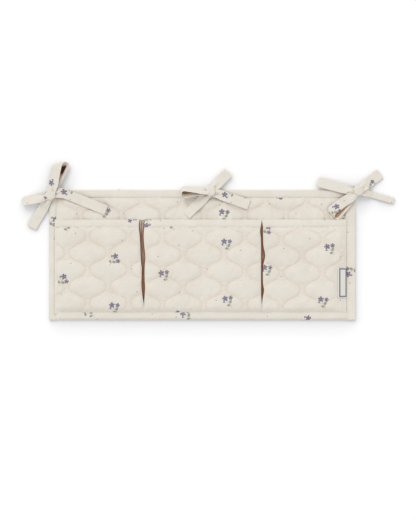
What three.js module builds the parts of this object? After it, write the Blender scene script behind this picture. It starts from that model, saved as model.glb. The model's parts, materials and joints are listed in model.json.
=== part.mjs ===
// Quilted bedside caddy: a padded back panel bound with tape, three pleated pockets, a side label
// and three ribbon ties, each tied in a bow. It lies on its back, as before it is hung on a bed rail:
// +X is to the right, +Y is up towards the ties, and +Z is out of the front.
// The origin is the middle of the rear face. Lengths are in millimetres, angles in degrees.
import * as THREE from "three";

// Back panel, seen from the front
const PANEL_WIDTH = 600;
const PANEL_HEIGHT = 255;
const SIDE_BINDING = 13.5; // tape along the left and right edges
const LONG_BINDING = 15.5; // tape along the top and bottom edges
const TAPE_THICKNESS = 1.0;
const TAPE_PUFF = 0.8; // how far the tape swells over the padded edge
const LINING_THICKNESS = 0.5;
const WADDING_THICKNESS = 2.6;
const FACE_THICKNESS = 0.8;

// Quilting, an ogee lattice of wavy stitch lines that mirror each other
const OGEE_WIDTH = 80.4;
const OGEE_HEIGHT = 65.3;
const OGEE_SWAY = 15.8; // how far a stitch line swings to either side
const OGEE_ROUNDNESS = 1.2; // how long it lingers there: towards 0 the line is a plain wave
const QUILT_CROWN = 1.9; // how far the cloth puffs up between the lines
const PINCH_MARGIN = 14; // from a seam to where the cloth puffs up fully
// The middle of one ogee on each quilted piece
const QUILT_CELLS = {
  panel: { x: -117.4, y: 75.6 },
  left: { x: -183.5, y: 36.2 },
  centre: { x: -37.3, y: 32.6 },
  right: { x: 194.8, y: 29.2 },
};
const QUILT_ROW = 8; // spacing of the quilt's facets along a stitch line

// Pockets
const POCKET_HEIGHT = 181.5; // from the bottom binding to the mouth
const CENTRE_POCKET_WIDTH = 227.4;
const CENTRE_POCKET_SHIFT = 0.7; // to the right of the panel's middle
const LEFT_SLIT_MOUTH = 10.5; // gap between two pockets at their mouths
const RIGHT_SLIT_MOUTH = 4;
const SLIT_FOOT = 3; // and at their bottom seams
const POCKET_STAND = 6.4; // free depth behind a pocket's front
const POCKET_RISE = 20; // height in which a front lifts off its bottom seam
const SEAM_HEIGHT = 5.8; // a front's underside where it is sewn in
const PLEAT_DEPTH = 24; // how far the folded sides reach in behind a front
const PLEAT_THICKNESS = 2.2;
const HEM_WIDTH = 15.5;

// Label on the right pocket
const LABEL_WIDTH = 17.5;
const LABEL_HEIGHT = 60;
const LABEL_THICKNESS = 0.6;
const LABEL_EDGE = 4.2; // from the pocket's outer edge
const LABEL_RISE = 28; // from the bottom binding to the label's lower end

// Ties
const RIBBON_WIDTH = 19.5;
const RIBBON_THICKNESS = 1.0;
const GATHER_WIDTH = 7.5; // a ribbon's width where it is drawn into a knot
const GATHER_LENGTH = 26; // from the knot to the full width
const KNOT_LENGTH = 21;
const KNOT_WIDTH = 17;
const KNOT_HEIGHT = 8.4;
const LEG_SPACING = 2.4; // between the two legs of a loop at the knot
const LOOP_OPENING = 5; // between the two legs of a loop that lies flat
const STANDING_OPENING = 13; // and of a loop that stands on its edge
const LEFT_UPPER_LEAN = -38; // how far such a loop is tipped: above 0 its left side, from the knot, is up
const CENTRE_LEFT_LEAN = 64;
const RIGHT_LOWER_LEAN = 32;
const BASE_HEIGHT = 13; // the patch of ribbon sewn to the top binding
const BASE_INSET = 1; // from the panel's edges to that patch
const TAIL_LIFT = 2.5; // a hanging tail's tip above the ground
const MOUTH_CLEARANCE = 2.5; // from a ribbon's end down to a pocket's mouth
const LEFT_KNOT = { x: 3, y: -11 }; // from the panel's top left corner
const CENTRE_KNOT = { x: 15.7, y: -3 }; // from the middle of the top edge
const RIGHT_KNOT = { x: 3.8, y: -2 }; // from the panel's top right corner
const LEFT_UPPER_LOOP = 58; // lengths from the knot to the ribbon's end
const LEFT_SIDE_LOOP = 102;
const LEFT_OUTER_TAIL = 46;
const LEFT_LOWER_TAIL = 63;
const CENTRE_LEFT_LOOP = 46;
const CENTRE_RIGHT_LOOP = 69;
const CENTRE_UPPER_TAIL = 41.5;
const RIGHT_INNER_LOOP = 69;
const RIGHT_UPPER_TAIL = 45;
const RIGHT_OUTER_TAIL = 63.5;
const FOLDED_TAIL_WIDTH = 11.5; // the right tie's outer tail lies folded lengthwise

// Clearances
const LAYER_GAP = 0.2; // between layers that lie on each other
const SEAT_GAP = 0.3; // between pieces that touch

// Heights above the ground, worked out from the layers
const LINING_EDGE = TAPE_THICKNESS + SEAT_GAP;
const WADDING_LOW = LINING_THICKNESS + LAYER_GAP;
const WADDING_HIGH = WADDING_LOW + WADDING_THICKNESS;
const FACE_LOW = WADDING_HIGH + LAYER_GAP;
const FACE_EDGE = FACE_LOW + FACE_THICKNESS;
const CROWN_TOP = FACE_EDGE + QUILT_CROWN;
const BINDING_SLOT = FACE_EDGE + SEAT_GAP;
const BINDING_TOP = BINDING_SLOT + TAPE_THICKNESS + TAPE_PUFF;
const PANEL_TOP = Math.max(CROWN_TOP, BINDING_TOP);
const POCKET_LOW = CROWN_TOP + POCKET_STAND;
const POCKET_FACE_LIFT = LINING_THICKNESS + LAYER_GAP;
const POCKET_FACE_EDGE = POCKET_LOW + POCKET_FACE_LIFT + FACE_THICKNESS;
const HEM_LOW = POCKET_LOW - SEAT_GAP - TAPE_THICKNESS;

// Places in plan
const RIGHT_EDGE = PANEL_WIDTH / 2;
const TOP_EDGE = PANEL_HEIGHT / 2;
const INNER_X = RIGHT_EDGE - SIDE_BINDING;
const INNER_Y = TOP_EDGE - LONG_BINDING;
const SEAM_Y = -INNER_Y + SEAT_GAP;
const MOUTH_Y = -INNER_Y + POCKET_HEIGHT;
const CENTRE_LEFT_X = CENTRE_POCKET_SHIFT - CENTRE_POCKET_WIDTH / 2;
const CENTRE_RIGHT_X = CENTRE_POCKET_SHIFT + CENTRE_POCKET_WIDTH / 2;

// Materials
const cotton = (color, roughness) => new THREE.MeshStandardMaterial({ color, roughness, metalness: 0 });
const quiltCotton = cotton(0xe6e1d6, 0.9);
const tapeCotton = cotton(0xe7e0d5, 0.85);
const liningCotton = cotton(0xe9e3d8, 0.9);
const ribbonCotton = cotton(0xe5dfd2, 0.85);
const wadding = cotton(0xf4f2ee, 1.0);
const wovenLabel = cotton(0xece8e0, 0.7);

const caddy = new THREE.Group();
caddy.name = "bedside_caddy";

// Adds one named piece to a group.
function addPiece(group, name, geometry, material) {
  const mesh = new THREE.Mesh(geometry, material);
  mesh.name = name;
  group.add(mesh);
  return mesh;
}

// A geometry from flat lists of coordinates and of triangle corners.
function indexedGeometry(coordinates, corners) {
  const geometry = new THREE.BufferGeometry();
  geometry.setAttribute("position", new THREE.Float32BufferAttribute(coordinates, 3));
  geometry.setIndex(corners);
  geometry.computeVertexNormals();
  return geometry;
}

// A closed skin over equal rings of points, capped at both ends. Each ring runs anticlockwise
// when it is seen against the direction in which the rings follow each other.
function loft(rings) {
  const size = rings[0].length;
  const corners = [];
  for (let j = 0; j + 1 < rings.length; j++) {
    for (let i = 0; i < size; i++) {
      const a = j * size + i;
      const b = j * size + ((i + 1) % size);
      corners.push(a, b, b + size, a, b + size, a + size);
    }
  }
  const last = (rings.length - 1) * size;
  for (const [a, b, c] of capTriangles(rings[0])) corners.push(a, c, b);
  for (const [a, b, c] of capTriangles(rings.at(-1))) corners.push(last + a, last + b, last + c);
  return indexedGeometry(rings.flat().flatMap((p) => [p.x, p.y, p.z]), corners);
}

// Triangles over one flat ring, in the ring's own direction of turning.
function capTriangles(ring) {
  const across = new THREE.Vector3();
  for (let i = 0; i < ring.length; i++) {
    const next = ring[(i + 1) % ring.length];
    across.add(new THREE.Vector3().crossVectors(ring[i], next));
  }
  const frame = new THREE.Quaternion().setFromUnitVectors(across.normalize(), new THREE.Vector3(0, 0, 1));
  const flat = ring.map((p) => p.clone().applyQuaternion(frame)).map((p) => new THREE.Vector2(p.x, p.y));
  return THREE.ShapeUtils.triangulateShape(flat, []);
}

// A rectangular sheet whose margins lie higher than its middle: nested rectangles from the outside in.
function steppedSheet(steps) {
  const rectangle = ({ x, y }, z) => [
    new THREE.Vector3(-x, -y, z),
    new THREE.Vector3(x, -y, z),
    new THREE.Vector3(x, y, z),
    new THREE.Vector3(-x, y, z),
  ];
  const under = steps.map((step) => rectangle(step, step.low)).reverse();
  const over = steps.map((step) => rectangle(step, step.high));
  return loft([...under, ...over]);
}

// Cross-section of a tape folded round an edge: x is inwards from the fold, y is up.
function foldedTape(width, slotLow, slotHigh) {
  const low = slotLow - TAPE_THICKNESS;
  const high = slotHigh + TAPE_THICKNESS;
  const middle = (low + high) / 2;
  const roundness = 2.5 * TAPE_THICKNESS;
  const shape = new THREE.Shape();
  shape.moveTo(width, low);
  shape.lineTo(width, slotLow);
  shape.lineTo(TAPE_THICKNESS, slotLow);
  shape.lineTo(TAPE_THICKNESS, slotHigh);
  shape.lineTo(width, slotHigh);
  shape.lineTo(width, high);
  shape.quadraticCurveTo((width + roundness) / 2, high + 2 * TAPE_PUFF, roundness, high);
  shape.quadraticCurveTo(0, high, 0, middle);
  shape.quadraticCurveTo(0, low, roundness, low);
  return shape;
}

// A length of folded tape along X, with its fold at y = 0 and its open side towards +Y.
function tapeAlongX(shape, length) {
  const tape = new THREE.ExtrudeGeometry(shape, { depth: length, bevelEnabled: false, curveSegments: 5 });
  const [x, y, z] = [new THREE.Vector3(1, 0, 0), new THREE.Vector3(0, 1, 0), new THREE.Vector3(0, 0, 1)];
  return tape.applyMatrix4(new THREE.Matrix4().makeBasis(y, z, x)).translate(-length / 2, 0, 0);
}

const smooth = (t) => THREE.MathUtils.smoothstep(t, 0, 1);

// Height of a pocket's underside: flat, and drawn down to the seam at its foot.
function pocketUnderside(y) {
  const share = THREE.MathUtils.clamp((y - SEAM_Y) / POCKET_RISE, 0, 1);
  return SEAM_HEIGHT + (POCKET_LOW - SEAM_HEIGHT) * Math.sin((share * Math.PI) / 2);
}

// Evenly spaced values from one end to the other, at most a step apart.
function spaced(from, to, step) {
  const count = Math.ceil((to - from) / step);
  return Array.from({ length: count + 1 }, (_, i) => from + ((to - from) * i) / count);
}

// A quilted sheet of cloth, puffed up between its stitch lines. rows are the heights of its facets, edges
// gives its left and right ends at a height, cell is the middle of one ogee, and profile gives the columns
// across each puff as [share of its width, share of its height]. A border reaches past the ends, flat.
function quiltedSheet({ rows, edges, border, cell, underside, puff, profile }) {
  const half = OGEE_WIDTH / 2;
  const widest = half + 2 * OGEE_SWAY;
  const line = (k, y) => {
    const wave = Math.cos((2 * Math.PI * (y - cell.y)) / OGEE_HEIGHT);
    const swing = (OGEE_SWAY * Math.tanh(OGEE_ROUNDNESS * wave)) / Math.tanh(OGEE_ROUNDNESS);
    return cell.x + (k + 0.5) * half + (k % 2 ? -swing : swing);
  };
  const ends = rows.map(edges);
  const first = Math.floor((Math.min(...ends.map(([left]) => left)) - OGEE_SWAY - cell.x) / half) - 1;
  const last = Math.ceil((Math.max(...ends.map(([, right]) => right)) + OGEE_SWAY - cell.x) / half) + 1;
  const upper = rows.map((y, j) => {
    const [left, right] = ends[j];
    const flat = underside(y) + FACE_THICKNESS;
    const points = [new THREE.Vector3(left - border, y, flat), new THREE.Vector3(left, y, flat)];
    for (let k = first; k < last; k++) {
      const width = line(k + 1, y) - line(k, y);
      for (const [share, height] of profile) {
        const x = snapped(line(k, y) + share * width, left, right);
        const rise = QUILT_CROWN * height * Math.sqrt(width / widest) * puff(x, y);
        points.push(new THREE.Vector3(x, y, flat + rise));
      }
    }
    points.push(new THREE.Vector3(right, y, flat), new THREE.Vector3(right + border, y, flat));
    return points;
  });
  return clothSolid(upper, underside);
}

// A value held between two ends, and moved onto an end that is close.
function snapped(value, low, high) {
  const near = 1;
  if (value < low + near) return low;
  return value > high - near ? high : value;
}

// A closed solid under rows of points, down to an underside that depends on the height alone.
// Points of a row may coincide.
function clothSolid(upper, underside) {
  const points = [];
  const numbers = upper.map((row) => row.map((p, i) => {
    if (i === 0 || p.distanceTo(row[i - 1]) > 1e-6) points.push(p);
    return points.length - 1;
  }));
  const feet = numbers.map((row) => [row[0], row.at(-1)].map((number) => {
    const { x, y } = points[number];
    return points.push(new THREE.Vector3(x, y, underside(y))) - 1;
  }));
  const corners = [];
  const face = (a, b, c) => {
    if (a !== b && b !== c && c !== a) corners.push(a, b, c);
  };
  const quad = (a, b, c, d) => {
    face(a, b, c);
    face(a, c, d);
  };
  for (let j = 0; j + 1 < numbers.length; j++) {
    const [row, next] = [numbers[j], numbers[j + 1]];
    const [foot, nextFoot] = [feet[j], feet[j + 1]];
    for (let i = 0; i + 1 < row.length; i++) quad(row[i], row[i + 1], next[i + 1], next[i]);
    quad(foot[1], foot[0], nextFoot[0], nextFoot[1]);
    quad(foot[0], row[0], next[0], nextFoot[0]);
    quad(row.at(-1), foot[1], nextFoot[1], next.at(-1));
  }
  const [bottom, top] = [numbers[0], numbers.at(-1)];
  const [bottomFoot, topFoot] = [feet[0], feet.at(-1)];
  for (let i = 0; i + 1 < bottom.length; i++) {
    face(bottomFoot[0], bottom[i + 1], bottom[i]);
    face(topFoot[0], top[i], top[i + 1]);
  }
  face(bottomFoot[0], bottomFoot[1], bottom.at(-1));
  face(topFoot[0], top.at(-1), topFoot[1]);
  return indexedGeometry(points.flatMap((p) => [p.x, p.y, p.z]), corners);
}

// Back panel: lining, wadding and quilted face, whose edges lie inside the folded tape.
function addBackPanel() {
  const margin = TAPE_THICKNESS + SEAT_GAP;
  const outer = { x: RIGHT_EDGE - margin, y: TOP_EDGE - margin };
  const lip = { x: INNER_X - SEAT_GAP, y: INNER_Y - SEAT_GAP };
  const drop = 2 * LINING_EDGE;
  const middle = { x: lip.x - drop, y: lip.y - drop };
  const edge = { low: LINING_EDGE, high: LINING_EDGE + LINING_THICKNESS };
  const liningSteps = [
    { ...outer, ...edge },
    { ...lip, ...edge },
    { ...middle, low: 0, high: LINING_THICKNESS },
  ];
  addPiece(caddy, "panel_lining", steppedSheet(liningSteps), liningCotton);
  const waddingEdge = { low: edge.high + LAYER_GAP, high: WADDING_HIGH };
  const waddingSteps = [
    { ...outer, ...waddingEdge },
    { ...lip, ...waddingEdge },
    { ...middle, low: WADDING_LOW, high: WADDING_HIGH },
  ];
  addPiece(caddy, "panel_wadding", steppedSheet(waddingSteps), wadding);

  const face = quiltedSheet({
    rows: [-outer.y, ...spaced(-lip.y, lip.y, QUILT_ROW), outer.y],
    edges: () => [-lip.x, lip.x],
    border: outer.x - lip.x,
    cell: QUILT_CELLS.panel,
    underside: () => FACE_LOW,
    puff: (x, y) => {
      const sides = smooth((lip.x - Math.abs(x)) / PINCH_MARGIN);
      return sides * smooth((lip.y - Math.abs(y)) / PINCH_MARGIN);
    },
    profile: [[0, 0], [0.5, 1]],
  });
  addPiece(caddy, "panel_face", face, quiltCotton);
}

// Four lengths of folded tape round the panel. The side lengths run over the ends of the other two.
function addBindings() {
  const longTape = foldedTape(LONG_BINDING, TAPE_THICKNESS, BINDING_SLOT);
  const sideTape = foldedTape(SIDE_BINDING, TAPE_THICKNESS, BINDING_SLOT);
  const longLength = 2 * (INNER_X - SEAT_GAP);
  const edges = [
    { name: "bottom_binding", shape: longTape, length: longLength, x: 0, y: -TOP_EDGE, turn: 0 },
    { name: "right_binding", shape: sideTape, length: PANEL_HEIGHT, x: RIGHT_EDGE, y: 0, turn: Math.PI / 2 },
    { name: "top_binding", shape: longTape, length: longLength, x: 0, y: TOP_EDGE, turn: Math.PI },
    { name: "left_binding", shape: sideTape, length: PANEL_HEIGHT, x: -RIGHT_EDGE, y: 0, turn: -Math.PI / 2 },
  ];
  for (const { name, shape, length, x, y, turn } of edges) {
    const tape = addPiece(caddy, name, tapeAlongX(shape, length), tapeCotton);
    tape.position.set(x, y, 0);
    tape.rotation.z = turn;
  }
}

// Where a pocket's edge lies at height y.
function edgeAt(edge, y) {
  const share = (y - SEAM_Y) / (MOUTH_Y - SEAM_Y);
  return edge.foot + (edge.mouth - edge.foot) * share;
}

// The quilted front, lining and mouth hem of one pocket. flatness is 0 where something is sewn on the front.
function addPocket({ name, edges, cell, flatness }) {
  const group = new THREE.Group();
  group.name = `${name}_pocket`;
  caddy.add(group);
  const frontTop = MOUTH_Y - TAPE_THICKNESS - SEAT_GAP;
  const hemFoot = MOUTH_Y - HEM_WIDTH - SEAT_GAP;
  const ends = (y) => [edgeAt(edges.left, y), edgeAt(edges.right, y)];
  const rise = spaced(SEAM_Y, SEAM_Y + POCKET_RISE, QUILT_ROW / 2);

  const face = quiltedSheet({
    rows: [...rise, ...spaced(rise.at(-1), hemFoot, QUILT_ROW).slice(1), frontTop],
    edges: ends,
    border: 0,
    cell,
    underside: (y) => pocketUnderside(y) + POCKET_FACE_LIFT,
    puff: (x, y) => {
      const [left, right] = ends(y);
      const sides = smooth((x - left) / PINCH_MARGIN) * smooth((right - x) / PINCH_MARGIN);
      const seams = smooth((y - SEAM_Y) / PINCH_MARGIN) * smooth((hemFoot - y) / PINCH_MARGIN);
      return sides * seams * flatness(x, y);
    },
    profile: [[0, 0], [0.22, 0.85], [0.5, 1], [0.78, 0.85]],
  });
  addPiece(group, `${name}_pocket_face`, face, quiltCotton);

  const heights = [...rise, frontTop];
  const liningEnd = (edge) => {
    const under = heights.map((y) => new THREE.Vector3(edgeAt(edge, y), y, pocketUnderside(y)));
    const over = under.map((p) => p.clone().setZ(p.z + LINING_THICKNESS)).reverse();
    return [...under, ...over];
  };
  const lining = loft([liningEnd(edges.left), liningEnd(edges.right)]);
  addPiece(group, `${name}_pocket_lining`, lining, liningCotton);

  const hemTape = foldedTape(HEM_WIDTH, POCKET_LOW - SEAT_GAP, POCKET_FACE_EDGE + SEAT_GAP);
  const hem = tapeAlongX(hemTape, 2).rotateZ(Math.PI).translate(0, MOUTH_Y, 0);
  const points = hem.attributes.position;
  for (let i = 0; i < points.count; i++) {
    points.setX(i, ends(points.getY(i))[points.getX(i) < 0 ? 0 : 1]);
  }
  addPiece(group, `${name}_pocket_hem`, hem, tapeCotton);
  return group;
}

// A fold of a pocket's side at height y: outwards from the back panel, round the inner fold and back to
// the front's edge, then the same way home on the inside. side is +1 where the fold lies to the right.
function sideFold(edgeX, side, y) {
  const underHem = y > MOUTH_Y - HEM_WIDTH - SEAT_GAP;
  const low = CROWN_TOP + SEAT_GAP;
  const high = (underHem ? HEM_LOW : pocketUnderside(y)) - SEAT_GAP;
  const layer = Math.min(PLEAT_THICKNESS, 0.3 * (high - low));
  const radius = (high - low) / 2;
  const middleX = edgeX + side * (PLEAT_DEPTH - radius);
  const turn = (r) => [-90, -45, 0, 45, 90].map((degrees) => {
    const angle = THREE.MathUtils.degToRad(degrees);
    return new THREE.Vector3(middleX + side * r * Math.cos(angle), y, low + radius + r * Math.sin(angle));
  });
  return {
    outside: [...turn(radius), new THREE.Vector3(edgeX, y, high)],
    inside: [new THREE.Vector3(edgeX, y, high - layer), ...turn(radius - layer).reverse()],
    seam: [new THREE.Vector3(edgeX, y, low + layer), new THREE.Vector3(edgeX, y, low)],
  };
}

// Heights at which a pleat's section changes, from the mouth down to just above the foot.
function pleatHeights() {
  const foot = SEAM_Y + POCKET_RISE / 3;
  const hemFoot = MOUTH_Y - HEM_WIDTH;
  const rise = spaced(foot, SEAM_Y + POCKET_RISE, QUILT_ROW);
  return [...rise, hemFoot - 2 * SEAT_GAP, hemFoot, MOUTH_Y - SEAT_GAP].reverse();
}

// Inverted box pleat between two pockets: one strip of cloth folded in behind both fronts.
function addDividerPleat(name, leftEdge, rightEdge) {
  const rings = pleatHeights().map((y) => {
    const left = sideFold(edgeAt(leftEdge, y), -1, y);
    const right = sideFold(edgeAt(rightEdge, y), 1, y);
    return [...right.outside, ...right.inside, ...left.inside.reverse(), ...left.outside.reverse()];
  });
  addPiece(caddy, name, loft(rings), quiltCotton);
}

// Half a box pleat, at the outer edge of a side pocket. side is +1 at the left edge of the panel.
function addSidePleat(name, edge, side) {
  const rings = pleatHeights().map((y) => {
    const { outside, inside, seam } = sideFold(edgeAt(edge, y), side, y);
    const ring = [...outside, ...inside, ...seam];
    return side > 0 ? ring : ring.reverse();
  });
  addPiece(caddy, name, loft(rings), quiltCotton);
}

function addPockets() {
  const outerEdge = INNER_X - SEAT_GAP;
  const straight = (x) => ({ foot: x, mouth: x });
  const left = {
    left: straight(-outerEdge),
    right: { foot: CENTRE_LEFT_X - SLIT_FOOT, mouth: CENTRE_LEFT_X - LEFT_SLIT_MOUTH },
  };
  const centre = { left: straight(CENTRE_LEFT_X), right: straight(CENTRE_RIGHT_X) };
  const right = {
    left: { foot: CENTRE_RIGHT_X + SLIT_FOOT, mouth: CENTRE_RIGHT_X + RIGHT_SLIT_MOUTH },
    right: straight(outerEdge),
  };

  const labelX = outerEdge - LABEL_EDGE - LABEL_WIDTH / 2;
  const labelY = -INNER_Y + LABEL_RISE + LABEL_HEIGHT / 2;
  const besideLabel = (x, y) => {
    const beyondX = Math.abs(x - labelX) - LABEL_WIDTH / 2;
    const beyondY = Math.abs(y - labelY) - LABEL_HEIGHT / 2;
    return smooth((Math.max(beyondX, beyondY) - QUILT_ROW) / PINCH_MARGIN);
  };
  const everywhere = () => 1;
  addPocket({ name: "left", edges: left, cell: QUILT_CELLS.left, flatness: everywhere });
  addPocket({ name: "centre", edges: centre, cell: QUILT_CELLS.centre, flatness: everywhere });
  const rightCell = QUILT_CELLS.right;
  const rightPocket = addPocket({ name: "right", edges: right, cell: rightCell, flatness: besideLabel });

  const label = new THREE.BoxGeometry(LABEL_WIDTH, LABEL_HEIGHT, LABEL_THICKNESS);
  const labelPiece = addPiece(rightPocket, "side_label", label, wovenLabel);
  labelPiece.position.set(labelX, labelY, POCKET_FACE_EDGE + SEAT_GAP + LABEL_THICKNESS / 2);

  addSidePleat("left_side_pleat", left.left, 1);
  addDividerPleat("left_divider_pleat", left.right, centre.left);
  addDividerPleat("right_divider_pleat", centre.right, right.left);
  addSidePleat("right_side_pleat", right.right, -1);
}

// A strip of ribbon through stations that give its middle, its crosswise direction and its width.
function ribbonSolid(stations) {
  const rings = stations.map(({ middle, across, width }, i) => {
    const before = stations[Math.max(i - 1, 0)].middle;
    const after = stations[Math.min(i + 1, stations.length - 1)].middle;
    const along = after.clone().sub(before).normalize();
    const up = along.cross(across).normalize();
    const corner = (u, v) => {
      const edge = middle.clone().addScaledVector(across, (u * width) / 2);
      return edge.addScaledVector(up, (v * RIBBON_THICKNESS) / 2);
    };
    return [corner(-1, -1), corner(1, -1), corner(1, 1), corner(-1, 1)];
  });
  return loft(rings);
}

// A station of a ribbon that leaves its knot along +X. reach is the way along the ribbon's bent middle
// line, height its rise there, and offset the distance from that line square to the leaning ribbon.
function station({ length, bend, lean, width }, reach, height, offset) {
  const curl = THREE.MathUtils.degToRad(bend) / length;
  const heading = curl * reach;
  const x = curl ? Math.sin(heading) / curl : reach;
  const y = curl ? (1 - Math.cos(heading)) / curl : 0;
  const tilt = THREE.MathUtils.degToRad(lean);
  const sideways = new THREE.Vector3(-Math.sin(heading), Math.cos(heading), 0);
  const upwards = new THREE.Vector3(0, 0, 1);
  const across = sideways.clone().multiplyScalar(Math.cos(tilt)).addScaledVector(upwards, Math.sin(tilt));
  const out = upwards.clone().multiplyScalar(Math.cos(tilt)).addScaledVector(sideways, -Math.sin(tilt));
  const gathered = smooth(reach / Math.min(GATHER_LENGTH, length / 2));
  return {
    middle: new THREE.Vector3(x, y, height).addScaledVector(out, offset),
    across,
    width: GATHER_WIDTH + (width - GATHER_WIDTH) * gathered,
  };
}

// A loop: out along the lower leg, round the end and back along the upper leg.
function loopSolid(ribbon, sink) {
  const { length, opening } = ribbon;
  const radius = opening / 2;
  const straight = length - radius;
  const reaches = spaced(0, straight, straight / 7);
  const spread = (reach) => (LEG_SPACING + (opening - LEG_SPACING) * smooth(reach / straight)) / 2;
  const lower = reaches.map((reach) => station(ribbon, reach, sink(reach / straight), -spread(reach)));
  const end = [-60, -30, 0, 30, 60].map((degrees) => {
    const angle = THREE.MathUtils.degToRad(degrees);
    return station(ribbon, straight + radius * Math.cos(angle), sink(1), radius * Math.sin(angle));
  });
  const upper = reaches.map((reach) => station(ribbon, reach, sink(reach / straight), spread(reach)));
  return ribbonSolid([...lower, ...end, ...upper.reverse()]);
}

// A loose end, cut square.
function tailSolid(ribbon, sink) {
  const { length } = ribbon;
  const reaches = spaced(0, length, length / 9);
  return ribbonSolid(reaches.map((reach) => station(ribbon, reach, sink(reach / length), 0)));
}

// A knot: a rounded lump whose middle is wrapped by a band and whose two ends are lower.
function knotSolid() {
  const roundness = 3.5;
  const knot = new THREE.SphereGeometry(1, 20, 12).rotateX(Math.PI / 2);
  const points = knot.attributes.position;
  for (let i = 0; i < points.count; i++) {
    const p = new THREE.Vector3().fromBufferAttribute(points, i);
    const swell = (Math.hypot(p.x, p.y) ** roundness + Math.abs(p.z) ** roundness) ** (-1 / roundness);
    p.multiplyScalar(swell);
    const beyondBand = THREE.MathUtils.smoothstep(Math.abs(p.x), 0.42, 0.62);
    const z = p.z * (1 - 0.25 * beyondBand);
    points.setXYZ(i, (p.x * KNOT_LENGTH) / 2, (p.y * KNOT_WIDTH) / 2, (z * KNOT_HEIGHT) / 2);
  }
  knot.computeVertexNormals();
  return knot;
}

// One tie: its sewn-on base, its knot, and the loops and tails that leave the knot. Each of these hangs in a
// group at the top of its root, where it bends up and down.
function addTie({ name, baseX, knotX, knotY, turn, ribbons }) {
  const baseLow = BINDING_TOP + SEAT_GAP;
  const baseThickness = 1.2 * RIBBON_THICKNESS;
  const baseY = TOP_EDGE - BASE_INSET - BASE_HEIGHT / 2;
  const patch = new THREE.BoxGeometry(RIBBON_WIDTH, BASE_HEIGHT, baseThickness);
  const base = addPiece(caddy, `${name}_tie_base`, patch, ribbonCotton);
  base.position.set(baseX, baseY, baseLow + baseThickness / 2);

  const knotMiddle = baseLow + baseThickness + SEAT_GAP + KNOT_HEIGHT / 2;
  const knot = addPiece(caddy, `${name}_tie_knot`, knotSolid(), ribbonCotton);
  knot.position.set(knotX, knotY, knotMiddle);
  knot.rotation.z = THREE.MathUtils.degToRad(turn);

  for (const ribbon of ribbons) {
    const heading = THREE.MathUtils.degToRad(ribbon.heading);
    const fromKnot = THREE.MathUtils.degToRad(ribbon.heading - turn);
    const knotReach = Math.hypot(KNOT_LENGTH * Math.cos(fromKnot), KNOT_WIDTH * Math.sin(fromKnot)) / 2;
    const root = knotReach + SEAT_GAP;
    const tilt = Math.abs(THREE.MathUtils.degToRad(ribbon.lean));
    const thick = RIBBON_THICKNESS / 2;
    const halfHeight = (spread, width) => {
      return (spread / 2 + thick) * Math.cos(tilt) + (width / 2) * Math.sin(tilt);
    };
    const rootHalf = halfHeight(ribbon.opening ? LEG_SPACING : 0, GATHER_WIDTH);
    const restHeight = ribbon.support + halfHeight(ribbon.opening, ribbon.width);
    const widening = Math.min(GATHER_LENGTH, ribbon.length / 2);
    const pace = restHeight > knotMiddle ? ribbon.length / widening : 1; // one that rises does so as it widens
    const sink = (share) => -rootHalf + (restHeight - knotMiddle) * smooth(share * pace);

    const hinge = new THREE.Group();
    hinge.name = `${name}_tie_${ribbon.name}_hinge`;
    hinge.position.set(
      knotX + root * Math.cos(heading),
      knotY + root * Math.sin(heading),
      knotMiddle + rootHalf,
    );
    hinge.rotation.z = heading - THREE.MathUtils.degToRad(ribbon.bend) / 2;
    caddy.add(hinge);
    const solid = ribbon.opening ? loopSolid(ribbon, sink) : tailSolid(ribbon, sink);
    addPiece(hinge, `${name}_tie_${ribbon.name}`, solid, ribbonCotton);
  }
}

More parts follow.
